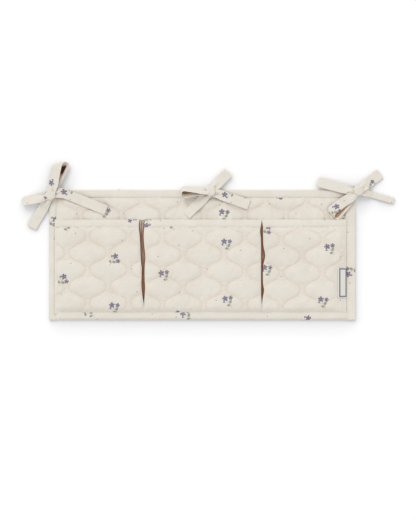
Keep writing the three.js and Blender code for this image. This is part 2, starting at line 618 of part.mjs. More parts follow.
function addTies() {
  const onPanel = PANEL_TOP + SEAT_GAP;
  const flatLoop = { opening: LOOP_OPENING, lean: 0, bend: 0, width: RIBBON_WIDTH, support: onPanel };
  const panelTail = { opening: 0, lean: 0, bend: 0, width: RIBBON_WIDTH, support: onPanel };
  const freeTail = { ...panelTail, support: TAIL_LIFT };
  const upperLoop = { ...flatLoop, opening: STANDING_OPENING, lean: LEFT_UPPER_LEAN, support: TAIL_LIFT };
  const leftLoop = { ...flatLoop, opening: STANDING_OPENING, lean: CENTRE_LEFT_LEAN };
  const lowerLoop = { ...flatLoop, opening: STANDING_OPENING, lean: RIGHT_LOWER_LEAN };
  const baseAtEdge = RIGHT_EDGE - BASE_INSET - RIBBON_WIDTH / 2;
  // Length of a ribbon that points down and ends just above the pockets' mouths.
  const reachToMouth = ({ opening, lean, width }, knotY, heading) => {
    const angle = THREE.MathUtils.degToRad(heading);
    const tilt = THREE.MathUtils.degToRad(lean);
    const sideReach = (opening * Math.sin(tilt) + width * Math.cos(tilt)) / 2;
    const drop = knotY - MOUTH_Y - MOUTH_CLEARANCE - Math.abs(Math.cos(angle)) * sideReach;
    return drop / Math.abs(Math.sin(angle)) - KNOT_LENGTH / 2 - SEAT_GAP;
  };

  addTie({
    name: "left",
    baseX: -baseAtEdge,
    knotX: -RIGHT_EDGE + LEFT_KNOT.x,
    knotY: TOP_EDGE + LEFT_KNOT.y,
    turn: 30,
    ribbons: [
      { ...upperLoop, name: "upper_loop", heading: 70.5, length: LEFT_UPPER_LOOP },
      { ...flatLoop, name: "side_loop", heading: -14.5, bend: -14, length: LEFT_SIDE_LOOP },
      { ...freeTail, name: "outer_tail", heading: 193, length: LEFT_OUTER_TAIL },
      { ...freeTail, name: "lower_tail", heading: 239, length: LEFT_LOWER_TAIL },
    ],
  });
  const centreKnotY = TOP_EDGE + CENTRE_KNOT.y;
  addTie({
    name: "centre",
    baseX: CENTRE_KNOT.x,
    knotX: CENTRE_KNOT.x,
    knotY: centreKnotY,
    turn: -9,
    ribbons: [
      { ...leftLoop, name: "left_loop", heading: 181, length: CENTRE_LEFT_LOOP },
      { ...flatLoop, name: "right_loop", heading: -19.5, length: CENTRE_RIGHT_LOOP },
      { ...freeTail, name: "upper_tail", heading: 47, length: CENTRE_UPPER_TAIL, support: onPanel },
      { ...panelTail, name: "lower_tail", heading: 228, length: reachToMouth(panelTail, centreKnotY, 228) },
    ],
  });
  const rightKnotY = TOP_EDGE + RIGHT_KNOT.y;
  addTie({
    name: "right",
    baseX: baseAtEdge,
    knotX: RIGHT_EDGE + RIGHT_KNOT.x,
    knotY: rightKnotY,
    turn: 12,
    ribbons: [
      { ...flatLoop, name: "inner_loop", heading: 167.5, length: RIGHT_INNER_LOOP },
      { ...lowerLoop, name: "lower_loop", heading: 223, length: reachToMouth(lowerLoop, rightKnotY, 223) },
      { ...freeTail, name: "upper_tail", heading: 37, length: RIGHT_UPPER_TAIL },
      { ...freeTail, name: "outer_tail", heading: -15.5, length: RIGHT_OUTER_TAIL, width: FOLDED_TAIL_WIDTH },
    ],
  });
}

addBackPanel();
addBindings();
addPockets();
addTies();

export default caddy;
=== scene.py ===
"""Looks of a quilted bedside caddy that lies on its back, with its three ties in bows.

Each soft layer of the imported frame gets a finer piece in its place: quilted pads, folded tapes, pleats,
ribbons, knots, a woven label, and the thread that holds them together. Lengths are in metres, in the
frame's own axes: +X to the right, +Y up towards the ties, +Z out of the front.
"""

from __future__ import annotations

import json
import logging
import math
from dataclasses import dataclass, replace
from enum import Enum
from functools import partialmethod, reduce
from typing import Callable, Iterable, Sequence, Union

import bpy
import numpy as np
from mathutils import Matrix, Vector


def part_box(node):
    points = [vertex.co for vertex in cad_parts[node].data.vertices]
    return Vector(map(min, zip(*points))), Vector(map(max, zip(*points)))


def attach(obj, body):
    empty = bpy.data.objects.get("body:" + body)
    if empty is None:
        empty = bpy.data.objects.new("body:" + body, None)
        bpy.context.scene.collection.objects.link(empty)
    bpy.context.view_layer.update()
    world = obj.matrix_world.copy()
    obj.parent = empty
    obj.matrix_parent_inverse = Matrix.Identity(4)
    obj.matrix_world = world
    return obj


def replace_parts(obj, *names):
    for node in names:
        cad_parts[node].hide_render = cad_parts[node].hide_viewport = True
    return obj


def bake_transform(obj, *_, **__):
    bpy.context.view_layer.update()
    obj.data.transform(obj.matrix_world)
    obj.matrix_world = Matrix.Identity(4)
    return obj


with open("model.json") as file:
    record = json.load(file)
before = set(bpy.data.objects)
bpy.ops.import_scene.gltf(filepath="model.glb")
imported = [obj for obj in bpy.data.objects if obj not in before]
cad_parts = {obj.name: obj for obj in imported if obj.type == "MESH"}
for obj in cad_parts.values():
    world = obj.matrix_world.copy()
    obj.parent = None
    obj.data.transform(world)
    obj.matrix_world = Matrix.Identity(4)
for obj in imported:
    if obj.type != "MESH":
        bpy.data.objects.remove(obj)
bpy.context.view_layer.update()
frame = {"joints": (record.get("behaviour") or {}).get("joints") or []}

log = logging.getLogger("caddy")
Array = np.ndarray
Piece = bpy.types.Object
Socket = bpy.types.NodeSocket
Tree = bpy.types.NodeTree
Profile = Callable[[Array], Array]
Pair = tuple[float, float]
Triple = tuple[float, float, float]
Colour = Triple
Amount = Union["Field", float]

MM = 0.001
TINY = 1e-9
UP = np.array([0.0, 0.0, 1.0])
JOINTS = {joint["name"]: joint for joint in frame["joints"]}
CLOTH_UNITS = 10.0


class Slot(Enum):
    """The record's material slots."""

    QUILT = "quilt_cotton"
    LINING = "lining_cotton"
    BINDING = "binding_cotton"
    RIBBON = "ribbon_cotton"
    LABEL = "label_tape"


class Side(Enum):
    """Which of the three pockets or ties a piece belongs to."""

    LEFT = "left"
    CENTRE = "centre"
    RIGHT = "right"


def smooth(share: Array) -> Array:
    """Goes from 0 to 1 with level ends as the share goes from 0 to 1."""
    held = np.clip(share, 0.0, 1.0)
    return held * held * (3.0 - 2.0 * held)


def unevenness(x: Array, y: Array, wavelength: float, seed: int) -> Array:
    """Gives the gentle, repeatable unevenness of handled cloth.

    Args:
        x: First coordinates.
        y: Second coordinates.
        wavelength: Typical distance between two bulges.
        seed: Number that picks the pattern.

    Returns:
        Values that are mostly between -1 and 1.
    """
    waves = 7
    draw = np.random.default_rng(seed)
    total = np.zeros(np.broadcast(x, y).shape)
    for _ in range(waves):
        angle = draw.uniform(0.0, 2.0 * np.pi)
        length = wavelength * draw.uniform(0.7, 1.6)
        phase = draw.uniform(0.0, 2.0 * np.pi)
        total += np.sin(2.0 * np.pi * (x * np.cos(angle) + y * np.sin(angle)) / length + phase)
    return total / math.sqrt(waves)


def running_sum(steps: Array) -> Array:
    """Adds up steps along the last axis, midway between neighbours, starting from 0."""
    middles = (steps[..., 1:] + steps[..., :-1]) / 2.0
    start = np.zeros(steps.shape[:-1] + (1,))
    return np.concatenate([start, np.cumsum(middles, axis=-1)], axis=-1)


def joined(*parts: Array) -> Array:
    """Puts coordinates side by side in a last axis, each spread to the shape that they share."""
    return np.stack(np.broadcast_arrays(*parts), axis=-1)


def reached(points: Array) -> Array:
    """Length along a row of points at each of them, starting from 0."""
    steps = np.linalg.norm(np.diff(points, axis=0), axis=1)
    return np.concatenate([[0.0], np.cumsum(steps)])


def rounding(share: Array) -> Array:
    """Goes from 0 to 1 along a quarter of a circle as the share goes from 0 to 1."""
    held = np.clip(share, 0.0, 1.0)
    return np.sqrt(np.maximum(1.0 - (1.0 - held) ** 2, 0.0))


def half_turn(count: int) -> Array:
    """Angles round the outside of a fold, without the two ends of the half circle."""
    return np.linspace(-np.pi / 2.0, np.pi / 2.0, count)[1:-1]


def crowded(close: Sequence[float], even_from: float, length: float, count: int) -> Array:
    """Shares of a length that crowd together at its two ends.

    Args:
        close: Distances of the crowded places from either end.
        even_from: Distance from either end where even spacing begins.
        length: The whole length.
        count: How many places are evenly spaced.

    Returns:
        Shares from 0 to 1.
    """
    ends = np.array(close) / length
    even = np.linspace(even_from / length, 1.0 - even_from / length, count)
    return np.concatenate([ends, even, 1.0 - ends[::-1]])


@dataclass(frozen=True)
class Ripple:
    """Unevenness of one kind of cloth: its height, its wavelength, and what it adds to a piece's seed."""

    height: float
    wavelength: float
    seed: int = 0

    def at(self, x: Array, y: Array, seed: int = 0) -> Array:
        """Heights at places x and y, for a piece's own seed."""
        return self.height * unevenness(x, y, self.wavelength, self.seed + seed)


PLUMPNESS = Ripple(0.1, 70.0 * MM)
PAD_CREASES = Ripple(0.07 * MM, 17.0 * MM, 50)
GATHER_PHASE = Ripple(1.6, 40.0 * MM, 11)
TAPE_WAVES = Ripple(0.15 * MM, 48.0 * MM, 20)
TAPE_WAVER = Ripple(0.35 * MM, 34.0 * MM, 40)
LINING_WAVES = Ripple(0.05 * MM, 22.0 * MM, 70)
PLEAT_WAVES = Ripple(0.25 * MM, 28.0 * MM)
LABEL_WAVES = Ripple(0.25 * MM, 38.0 * MM, 90)
PATCH_WAVES = Ripple(0.15 * MM, 12.0 * MM, 5)
RIBBON_WAVES = Ripple(0.45 * MM, 30.0 * MM, 3)


class Workbench:
    """Makes, thickens and smooths meshes with Blender's own operators."""

    @staticmethod
    def take(piece: Piece) -> None:
        """Makes one piece the only selected and active one."""
        bpy.ops.object.select_all(action="DESELECT")
        piece.select_set(True)
        bpy.context.view_layer.objects.active = piece

    @staticmethod
    def name(piece: Piece, name: str) -> Piece:
        """Names a piece and its mesh."""
        piece.name = name
        piece.data.name = name
        return piece

    @classmethod
    def sheet(cls, name: str, points: Array, flat: Array) -> Piece:
        """Makes a sheet from a grid whose points are moved into place.

        Args:
            name: The piece's name.
            points: Places of the grid's points, as rows x columns x 3.
            flat: Places of the same points on the uncut cloth, as rows x columns x 2.

        Returns:
            The sheet, without thickness.
        """
        rows, columns = points.shape[:2]
        bpy.ops.object.select_all(action="DESELECT")
        bpy.ops.mesh.primitive_grid_add(x_subdivisions=columns - 1, y_subdivisions=rows - 1, size=1.0)
        piece = cls.name(bpy.context.object, name)
        cls.place(piece, points)
        corners = np.zeros(len(piece.data.loops), np.int32)
        piece.data.loops.foreach_get("vertex_index", corners)
        cloth = flat.reshape(-1, 2)[corners] * CLOTH_UNITS
        piece.data.uv_layers.active.data.foreach_set("uv", cloth.astype(np.float32).ravel())
        bpy.ops.object.shade_smooth()
        return piece

    @staticmethod
    def place(piece: Piece, points: Array) -> None:
        """Moves all of a mesh's points."""
        piece.data.vertices.foreach_set("co", points.astype(np.float32).ravel())
        piece.data.update()

    @staticmethod
    def points(piece: Piece) -> Array:
        """Reads a mesh's points, as count x 3."""
        found = np.zeros(len(piece.data.vertices) * 3, np.float32)
        piece.data.vertices.foreach_get("co", found)
        return found.reshape(-1, 3).astype(float)

    @staticmethod
    def note(piece: Piece, name: str, values: Array) -> None:
        """Keeps one number for each point of a mesh, which a finish can read."""
        layer = piece.data.attributes.new(name, "FLOAT", "POINT")
        layer.data.foreach_set("value", values.astype(np.float32).ravel())

    @classmethod
    def thicken(cls, piece: Piece, thickness: float, offset: float = 0.0) -> Piece:
        """Gives a sheet its thickness; an offset of -1 adds it all behind the sheet."""
        cls.take(piece)
        wall = piece.modifiers.new("thickness", "SOLIDIFY")
        wall.thickness = thickness
        wall.offset = offset
        wall.use_even_offset = True
        bpy.ops.object.modifier_apply(modifier=wall.name)
        return piece

    @classmethod
    def closed(cls, name: str, upper: Array, lower: Array, flat: Array) -> Piece:
        """Makes a closed pad from an upper and a lower skin that share their grid.

        Args:
            name: The piece's name.
            upper: Upper skin, as rows x columns x 3.
            lower: Lower skin, likewise.
            flat: Places on the uncut cloth, as rows x columns x 2.

        Returns:
            The pad, with walls between the skins' edges.
        """
        piece = cls.thicken(cls.sheet(name, upper, flat), MM, offset=-1.0)
        cls.place(piece, np.concatenate([upper.reshape(-1, 3), lower.reshape(-1, 3)]))
        return piece

    @classmethod
    def soften(cls, piece: Piece, width: float, sharp: float = 50.0) -> Piece:
        """Rounds a piece's edges that turn by more than the sharp angle, and shades it smoothly."""
        cls.take(piece)
        bevel = piece.modifiers.new("soft_edges", "BEVEL")
        bevel.width = width
        bevel.segments = 2
        bevel.limit_method = "ANGLE"
        bevel.angle_limit = math.radians(sharp)
        bpy.ops.object.modifier_apply(modifier=bevel.name)
        bpy.ops.object.shade_smooth()
        return piece

    @classmethod
    def dress(cls, piece: Piece, finish: Finish | LabelFinish, slot: Slot) -> Piece:
        """Gives a piece its one finish."""
        piece.data.materials.clear()
        piece.data.materials.append(finish.material())
        log.info("made %s: %d faces", piece.name, len(piece.data.polygons))
        return piece

    @classmethod
    def cloth(
        cls, name: str, skin: tuple[Array, Array], wall: Pair, finish: Finish | LabelFinish, slot: Slot
    ) -> Piece:
        """Makes a sheet with its thickness and its finish.

        Args:
            name: The piece's name.
            skin: Places of the grid's points, and the same places on the uncut cloth.
            wall: Thickness, and the offset that says on which side it is added.
            finish: What it is made of.
            slot: Not used.

        Returns:
            The dressed sheet.
        """
        return cls.dress(cls.thicken(cls.sheet(name, *skin), *wall), finish, slot)


class Field:
    """A number that varies over a material; arithmetic on it adds nodes to the material's tree."""

    def __init__(self, tree: Tree, socket: Socket) -> None:
        """Wraps one output socket of a node tree."""
        self.tree = tree
        self.socket = socket

    def math(self, operation: str, *others: Amount) -> Field:
        """Adds a Math node that takes this field first."""
        node = self.tree.nodes.new("ShaderNodeMath")
        node.operation = operation
        for entry, value in zip(node.inputs, (self, *others)):
            if isinstance(value, Field):
                self.tree.links.new(value.socket, entry)
            else:
                entry.default_value = value
        return Field(self.tree, node.outputs[0])

    __add__ = partialmethod(math, "ADD")
    __sub__ = partialmethod(math, "SUBTRACT")
    __mul__ = partialmethod(math, "MULTIPLY")
    __truediv__ = partialmethod(math, "DIVIDE")
    floor = partialmethod(math, "FLOOR")
    abs = partialmethod(math, "ABSOLUTE")
    sin = partialmethod(math, "SINE")
    cos = partialmethod(math, "COSINE")
    most = partialmethod(math, "MAXIMUM")
    least = partialmethod(math, "MINIMUM")

    def length(self, other: Field) -> Field:
        """The length of a vector in the plane."""
        return (self * self + other * other).math("SQRT")

    @staticmethod
    def most_of(fields: Iterable[Field]) -> Field:
        """The largest of several."""
        return reduce(Field.most, fields)

    def ramp(self, low: float, high: float, start: float = 0.0, end: float = 1.0) -> Field:
        """Goes smoothly from start to end while the field goes from low to high."""
        node = self.tree.nodes.new("ShaderNodeMapRange")
        node.interpolation_type = "SMOOTHSTEP"
        for entry, value in zip(node.inputs[1:5], (low, high, start, end)):
            entry.default_value = value
        self.tree.links.new(self.socket, node.inputs[0])
        return Field(self.tree, node.outputs[0])


class Shading:
    """A material under construction: its node tree and the parts that finishes share."""

    def __init__(self, name: str) -> None:
        """Starts a material with one principled surface."""
        self.material = bpy.data.materials.new(name)
        self.material.use_nodes = True
        self.tree = self.material.node_tree
        self.surface = self.tree.nodes["Principled BSDF"]

    def add(self, kind: str) -> bpy.types.Node:
        """Adds one node."""
        return self.tree.nodes.new(kind)

    def link(self, output: Socket, entry: Socket) -> None:
        """Joins two sockets."""
        self.tree.links.new(output, entry)

    def plane(self, uv: bool) -> tuple[Field, Field]:
        """Places on the piece in millimetres: on the uncut cloth, or in the frame's X and Y."""
        source = self.add("ShaderNodeTexCoord").outputs["UV" if uv else "Object"]
        parts = self.add("ShaderNodeSeparateXYZ")
        self.link(source, parts.inputs[0])
        scale = 1.0 / (CLOTH_UNITS * MM) if uv else 1.0 / MM
        return Field(self.tree, parts.outputs[0]) * scale, Field(self.tree, parts.outputs[1]) * scale

    def noise(self, size: float, detail: float = 2.0) -> Field:
        """Noise from 0 to 1 in the frame's space, with blotches of about the given size."""
        node = self.add("ShaderNodeTexNoise")
        node.inputs["Scale"].default_value = 1.0 / size
        node.inputs["Detail"].default_value = detail
        self.link(self.add("ShaderNodeTexCoord").outputs["Object"], node.inputs["Vector"])
        return Field(self.tree, node.outputs["Fac"])

    def noted(self, name: str) -> Field:
        """A number kept for each point of the piece, or 0 where the piece has none."""
        node = self.add("ShaderNodeAttribute")
        node.attribute_name = name
        return Field(self.tree, node.outputs["Fac"])

    def draw(self, column: Field, row: Field) -> tuple[Field, Field, Field]:
        """Three random numbers from 0 to 1 for each cell of a lattice."""
        cell = self.add("ShaderNodeCombineXYZ")
        self.link(column.socket, cell.inputs[0])
        self.link(row.socket, cell.inputs[1])
        node = self.add("ShaderNodeTexWhiteNoise")
        node.noise_dimensions = "2D"
        self.link(cell.outputs[0], node.inputs["Vector"])
        parts = self.add("ShaderNodeSeparateColor")
        self.link(node.outputs["Color"], parts.inputs[0])
        return tuple(Field(self.tree, output) for output in parts.outputs[:3])

    def mix(
        self, share: Field, first: Colour | Socket, second: Colour | Socket, blend: str = "MIX"
    ) -> Socket:
        """Mixes two colours by a share, from the first at 0 to the second at 1."""
        node = self.add("ShaderNodeMix")
        node.data_type = "RGBA"
        node.blend_type = blend
        colours = [entry for entry in node.inputs if entry.type == "RGBA"]
        self.link(share.socket, node.inputs[0])
        for entry, colour in zip(colours, (first, second)):
            if isinstance(colour, tuple):
                entry.default_value = (*colour, 1.0)
            else:
                self.link(colour, entry)
        return next(output for output in node.outputs if output.type == "RGBA")

    def bump(self, height: Field, distance: float, strength: float) -> None:
        """Lets a height field tilt the surface's shading."""
        node = self.add("ShaderNodeBump")
        node.inputs["Distance"].default_value = distance
        node.inputs["Strength"].default_value = strength
        self.link(height.socket, node.inputs["Height"])
        self.link(node.outputs[0], self.surface.inputs["Normal"])

    def coat(self, roughness: float, sheen: float) -> None:
        """Says how dull the surface is and how much it shines at a low angle."""
        self.surface.inputs["Roughness"].default_value = roughness
        self.surface.inputs["Sheen Weight"].default_value = sheen

    def openness(self, reach: float, samples: int, facing: Socket | None = None) -> Field:
        """How open a place is, from 0 to 1, within a reach and, where given, about a direction."""
        node = self.add("ShaderNodeAmbientOcclusion")
        node.samples = samples
        node.inputs["Distance"].default_value = reach
        if facing:
            self.link(facing, node.inputs["Normal"])
        return Field(self.tree, node.outputs["AO"])


def linear(red: int, green: int, blue: int) -> Colour:
    """Turns a screen colour from 0 to 255 into linear light."""

    def channel(value: int) -> float:
        share = value / 255.0
        return share / 12.92 if share <= 0.04045 else ((share + 0.055) / 1.055) ** 2.4

    return channel(red), channel(green), channel(blue)


@dataclass(frozen=True)
class SprigPrint:
    """A small all-over print: five-petalled sprigs in a half-drop repeat, with seed dots between them.

    Lengths are in millimetres on the cloth. flowers, bud, leaves and stalks list what blossom, leaf and stalk
    take, in the sprig's own axes.
    """

    column: float = 108.0
    row: float = 96.0
    wander: float = 34.0
    dot_column: float = 56.0
    dot_row: float = 60.0
    dot_radius: float = 1.25
    petals: int = 5
    edge: float = 0.35
    turning: float = 2.1
    flowers: tuple[tuple[Pair, float, float], ...] = (((-1.2, 8.6), 5.6, 0.3), ((8.4, 3.4), 4.3, 1.1))
    bud: tuple[Pair, float, Pair] = ((-5.6, 2.2), 2.2, (5.2, 1.5))
    leaves: tuple[tuple[Pair, float, Pair], ...] = (
        ((0.3, -5.2), 0.7, (8.4, 2.8)),
        ((-0.2, -8.0), 2.55, (7.6, 2.6)),
    )
    stalks: tuple[tuple[Pair, Pair, float], ...] = (
        ((-0.6, -12.5), (-1.2, 6.0), 1.3),
        ((0.4, -3.6), (7.6, 1.4), -0.8),
        ((0.2, -2.6), (-5.4, 2.4), 0.5),
    )

    def blossom(self, x: Field, y: Field, centre: Pair, radius: float, turn: float) -> Field:
        """A round flower with notched petals.

        Args:
            x: Across the sprig.
            y: Along the sprig.
            centre: The flower's middle on the sprig.
            radius: Length of a petal.
            turn: Angle of the first petal.

        Returns:
            1 on the flower and 0 off it.
        """
        across = x - centre[0]
        along = y - centre[1]
        far = across.length(along)
        lobe = (along.math("ARCTAN2", across) * (self.petals / 2.0) + turn).cos().abs()
        outline = lobe.ramp(0.0, 0.75, 0.42 * radius, radius)
        return (outline - far).ramp(-self.edge, self.edge)

    def leaf(self, x: Field, y: Field, foot: Pair, angle: float, size: Pair) -> Field:
        """A pointed leaf that grows from its foot at an angle, with a length and a half width."""
        across = x - foot[0]
        along = y - foot[1]
        forward = across * math.cos(angle) + along * math.sin(angle)
        sideways = along * math.cos(angle) - across * math.sin(angle)
        share = (forward / size[0]).least(1.0).most(0.0)
        outline = (share * math.pi).sin() * size[1]
        return (outline - sideways.abs()).ramp(-0.1, self.edge)

    def stalk(self, x: Field, y: Field, foot: Pair, tip: Pair, bow: float) -> Field:
        """A thin curved stalk between two points of a sprig."""
        share = ((y - foot[1]) / (tip[1] - foot[1])).least(1.0).most(0.0)
        middle = share * (tip[0] - foot[0]) + foot[0] + (share * math.pi).sin() * bow
        height = (tip[1] - foot[1]) / 2.0
        beyond = ((y - (foot[1] + height)).abs() - abs(height)).most(0.0)
        return (x - middle).length(beyond).ramp(0.25, 0.6, 1.0, 0.0)

    def colour(self, shading: Shading, ground: Socket, flower: Colour, green: Colour) -> Socket:
        """Prints the sprigs and dots on a ground colour.

        Args:
            shading: The material to print in.
            ground: Colour of the bare cloth.
            flower: Ink of the petals.
            green: Ink of the leaves and stalks.

        Returns:
            The printed colour.
        """
        u, v = shading.plane(uv=True)
        column = (u / self.column).floor()
        drop = column.math("PINGPONG", 1.0) * 0.5
        row = (v / self.row + drop).floor()
        across, along, turn = shading.draw(column, row)
        x = u - (column + 0.5) * self.column - (across - 0.5) * self.wander
        y = v - (row - drop + 0.5) * self.row - (along - 0.5) * self.wander
        angle = (turn - 0.5) * self.turning
        sine, cosine = angle.sin(), angle.cos()
        x, y = x * cosine + y * sine, y * cosine - x * sine

        blooms = Field.most_of(self.blossom(x, y, *flower_shape) for flower_shape in self.flowers)
        bud = self.leaf(x, y, *self.bud)
        leaves = Field.most_of(self.leaf(x, y, *leaf_shape) for leaf_shape in self.leaves)
        stalks = Field.most_of(self.stalk(x, y, *way) for way in self.stalks)

        dot_column = (u / self.dot_column).floor()
        dot_drop = dot_column.math("PINGPONG", 1.0) * 0.5
        dot_row = (v / self.dot_row + dot_drop).floor()
        aside, upward, chance = shading.draw(dot_column + 31.0, dot_row)
        dot_x = u - (dot_column + aside * 0.7 + 0.15) * self.dot_column
        dot_y = v - (dot_row - dot_drop + upward * 0.7 + 0.15) * self.dot_row
        dots = dot_x.length(dot_y).ramp(self.dot_radius - 0.4, self.dot_radius + 0.3, 1.0, 0.0)
        dots = dots * chance.ramp(0.12, 0.13)

        ink = shading.noise(2.2 * MM).ramp(0.2, 0.8, 0.72, 1.0)
        printed = shading.mix(stalks * 0.55, ground, green)
        printed = shading.mix(leaves * ink * 0.85, printed, green)
        printed = shading.mix(dots * 0.5, printed, flower)
        return shading.mix(blooms.most(bud) * ink * 0.9, printed, flower)


# Name of the number that says how much painted shade a pad's hollows get.
GROOVE_SHADE = "groove"
# Name of the number that says how much painted shade a loop's inner face gets.
INSIDE_SHADE = "inside"


@dataclass(frozen=True)
class Finish:
    """A cotton cloth: its ground colour, its weave and, where it has one, its print, with painted shade in
    its folds, hollows and loops.
    """

    name: str
    ground: Colour
    shade: Colour
    weave: float = 0.62
    blotch: float = 26.0 * MM
    fleck: float = 3.0 * MM
    lint: float = 1.3 * MM
    relief: float = 0.12 * MM
    roughness: float = 0.88
    specular: float = 0.2
    sheen: float = 0.25
    sheen_roughness: float = 0.5
    print: SprigPrint | None = None
    flower: Colour = linear(72, 62, 112)
    green: Colour = linear(122, 134, 108)
    # Painted shade: a warm dark tint multiplied in where other cloth lies close, in folds, slits and under
    # ribbons.
    crease: Colour = (0.66, 0.38, 0.22)
    crease_shade_reach: float = 12.0 * MM
    crease_shade_range: Pair = (0.04, 0.58)
    # Painted shade along the quilting's stitch lines and the flat spot's crease.
    groove: Colour = (0.985, 0.94, 0.905)
    # Painted shade inside the loops: brown, then near black deep in the turn.
    inside: Colour = (0.62, 0.42, 0.28)
    loop_shade: Colour = (0.1, 0.07, 0.06)

    def material(self) -> bpy.types.Material:
        """Returns the cloth's material, made once."""
        found = bpy.data.materials.get(self.name)
        return found or self.mix_material()

    def mix_material(self) -> bpy.types.Material:
        """Builds the node tree: mottled ground, print, painted shade in hollows, loops and folds, woven bump
        and a soft sheen.
        """
        shading = Shading(self.name)
        mottle = shading.noise(self.blotch) * 0.6 + shading.noise(self.fleck, 4.0) * 0.4
        colour = shading.mix(mottle.ramp(0.3, 0.7), self.shade, self.ground)
        if self.print:
            colour = self.print.colour(shading, colour, self.flower, self.green)
        # Painted shade in the quilting's hollows.
        colour = shading.mix(shading.noted(GROOVE_SHADE), colour, self.groove, blend="MULTIPLY")
        # Painted shade inside the loops: brown up to half, then near black.
        for tint, low, high in ((self.inside, 0.0, 0.5), (self.loop_shade, 0.5, 1.0)):
            colour = shading.mix(shading.noted(INSIDE_SHADE).ramp(low, high), colour, tint, blend="MULTIPLY")
        # Painted shade in folds, slits and under the ribbons.
        colour = self.paint_crease_shade(shading, colour)
        shading.link(colour, shading.surface.inputs["Base Color"])
        u, v = shading.plane(uv=True)
        turns = 2.0 * math.pi / self.weave
        threads = (u * turns).sin() * (v * turns).sin()
        shading.bump(threads * 0.5 + shading.noise(self.lint, 3.0), self.relief, 0.6)
        shading.coat(self.roughness, self.sheen)
        shading.surface.inputs["Specular IOR Level"].default_value = self.specular
        shading.surface.inputs["Sheen Roughness"].default_value = self.sheen_roughness
        return shading.material

    def paint_crease_shade(self, shading: Shading, colour: Socket) -> Socket:
        """Paints warm dark shade deep in folds, where light has passed from cloth to cloth many times."""
        deep = shading.openness(self.crease_shade_reach, samples=8).ramp(*self.crease_shade_range, 1.0, 0.0)
        return shading.mix(deep, colour, self.crease, blend="MULTIPLY")


PRINTED = Finish(
    "printed_cotton", ground=linear(232, 227, 216), shade=linear(226, 219, 208), print=SprigPrint()
)
# The tapes keep only a faint painted crease shade.
TAPED = replace(PRINTED, name="printed_tape_cotton", crease=(0.95, 0.9, 0.86))
LINING = Finish("plain_cotton", ground=linear(231, 226, 216), shade=linear(225, 219, 208))
# Pleat cloth with strong painted shade in its folds, so the slits between the pockets show warm dark brown.
PLEAT_SHADED = replace(
    LINING, name="pleat_cotton", crease=(0.34, 0.15, 0.075), crease_shade_reach=9.0 * MM, crease_shade_range=(0.72, 1.1)
)
# Dark grey thread: its darkness is a painted shadow line along the label's folded ends.
LABEL_SHADOW_THREAD = Finish("label_thread", ground=linear(66, 64, 62), shade=linear(52, 50, 48), weave=0.25)
THREAD = Finish("sewing_thread", ground=linear(230, 222, 210), shade=linear(222, 212, 199), weave=0.25)


@dataclass(frozen=True)
class LabelFinish:
    """A woven tape with a frame line and nothing inside it."""

    name: str = "woven_label_tape"
    ground: Colour = linear(226, 224, 219)
    shade: Colour = linear(220, 216, 208)
    line: Colour = linear(74, 73, 86)
    blotch: float = 4.0 * MM
    relief: float = 0.08 * MM
    frame_middle: float = 1.6
    frame_half: Pair = (6.4, 26.8)
    line_width: float = 2.5
    rib: float = 0.45
    roughness: float = 0.7
    sheen: float = 0.2

    def material(self) -> bpy.types.Material:
        """Builds the tape's node tree, on the label's own flat millimetres."""
        shading = Shading(self.name)
        u, v = shading.plane(uv=True)
        across = (u - self.frame_middle).abs() - self.frame_half[0]
        along = v.abs() - self.frame_half[1]
        half = self.line_width / 2.0
        line = across.most(along).abs().ramp(half - 0.1, half + 0.15, 1.0, 0.0)
        rib = (v * (2.0 * math.pi / self.rib)).sin()
        lines = line * (rib * 0.12 + 0.85)
        mottle = shading.noise(self.blotch)
        ground = shading.mix(mottle * 0.3, self.ground, self.shade)
        shading.link(shading.mix(lines, ground, self.line), shading.surface.inputs["Base Color"])
        shading.bump(rib * 0.5 + lines, self.relief, 0.5)
        shading.coat(self.roughness, self.sheen)
        return shading.material


@dataclass(frozen=True)
class Edge:
    """One side of a layer in plan: a line between its foot and its mouth that sags aside here and there.

    Each of the sags is its height, how far it goes to the right, and how far it spreads. The shifts move the
    line's two ends to the right; the foot's is full up to foot_closed above the foot.
    """

    foot: Pair
    mouth: Pair
    sags: tuple[Triple, ...] = ()
    foot_shift: float = 0.0
    mouth_shift: float = 0.0
    foot_reach: float = 26.0 * MM
    foot_closed: float = 0.0
    mouth_reach: float = 16.0 * MM

    def at(self, y: Array) -> Array:
        """The side's X at heights y."""
        share = (y - self.foot[1]) / (self.mouth[1] - self.foot[1])
        x = self.foot[0] + (self.mouth[0] - self.foot[0]) * share
        for height, aside, spread in self.sags:
            x = x + aside * np.exp(-(((y - height) / spread) ** 2))
        x = x + self.foot_shift * (1.0 - smooth((y - self.foot[1] - self.foot_closed) / self.foot_reach))
        return x + self.mouth_shift * smooth((y - self.mouth[1]) / self.mouth_reach + 1.0)


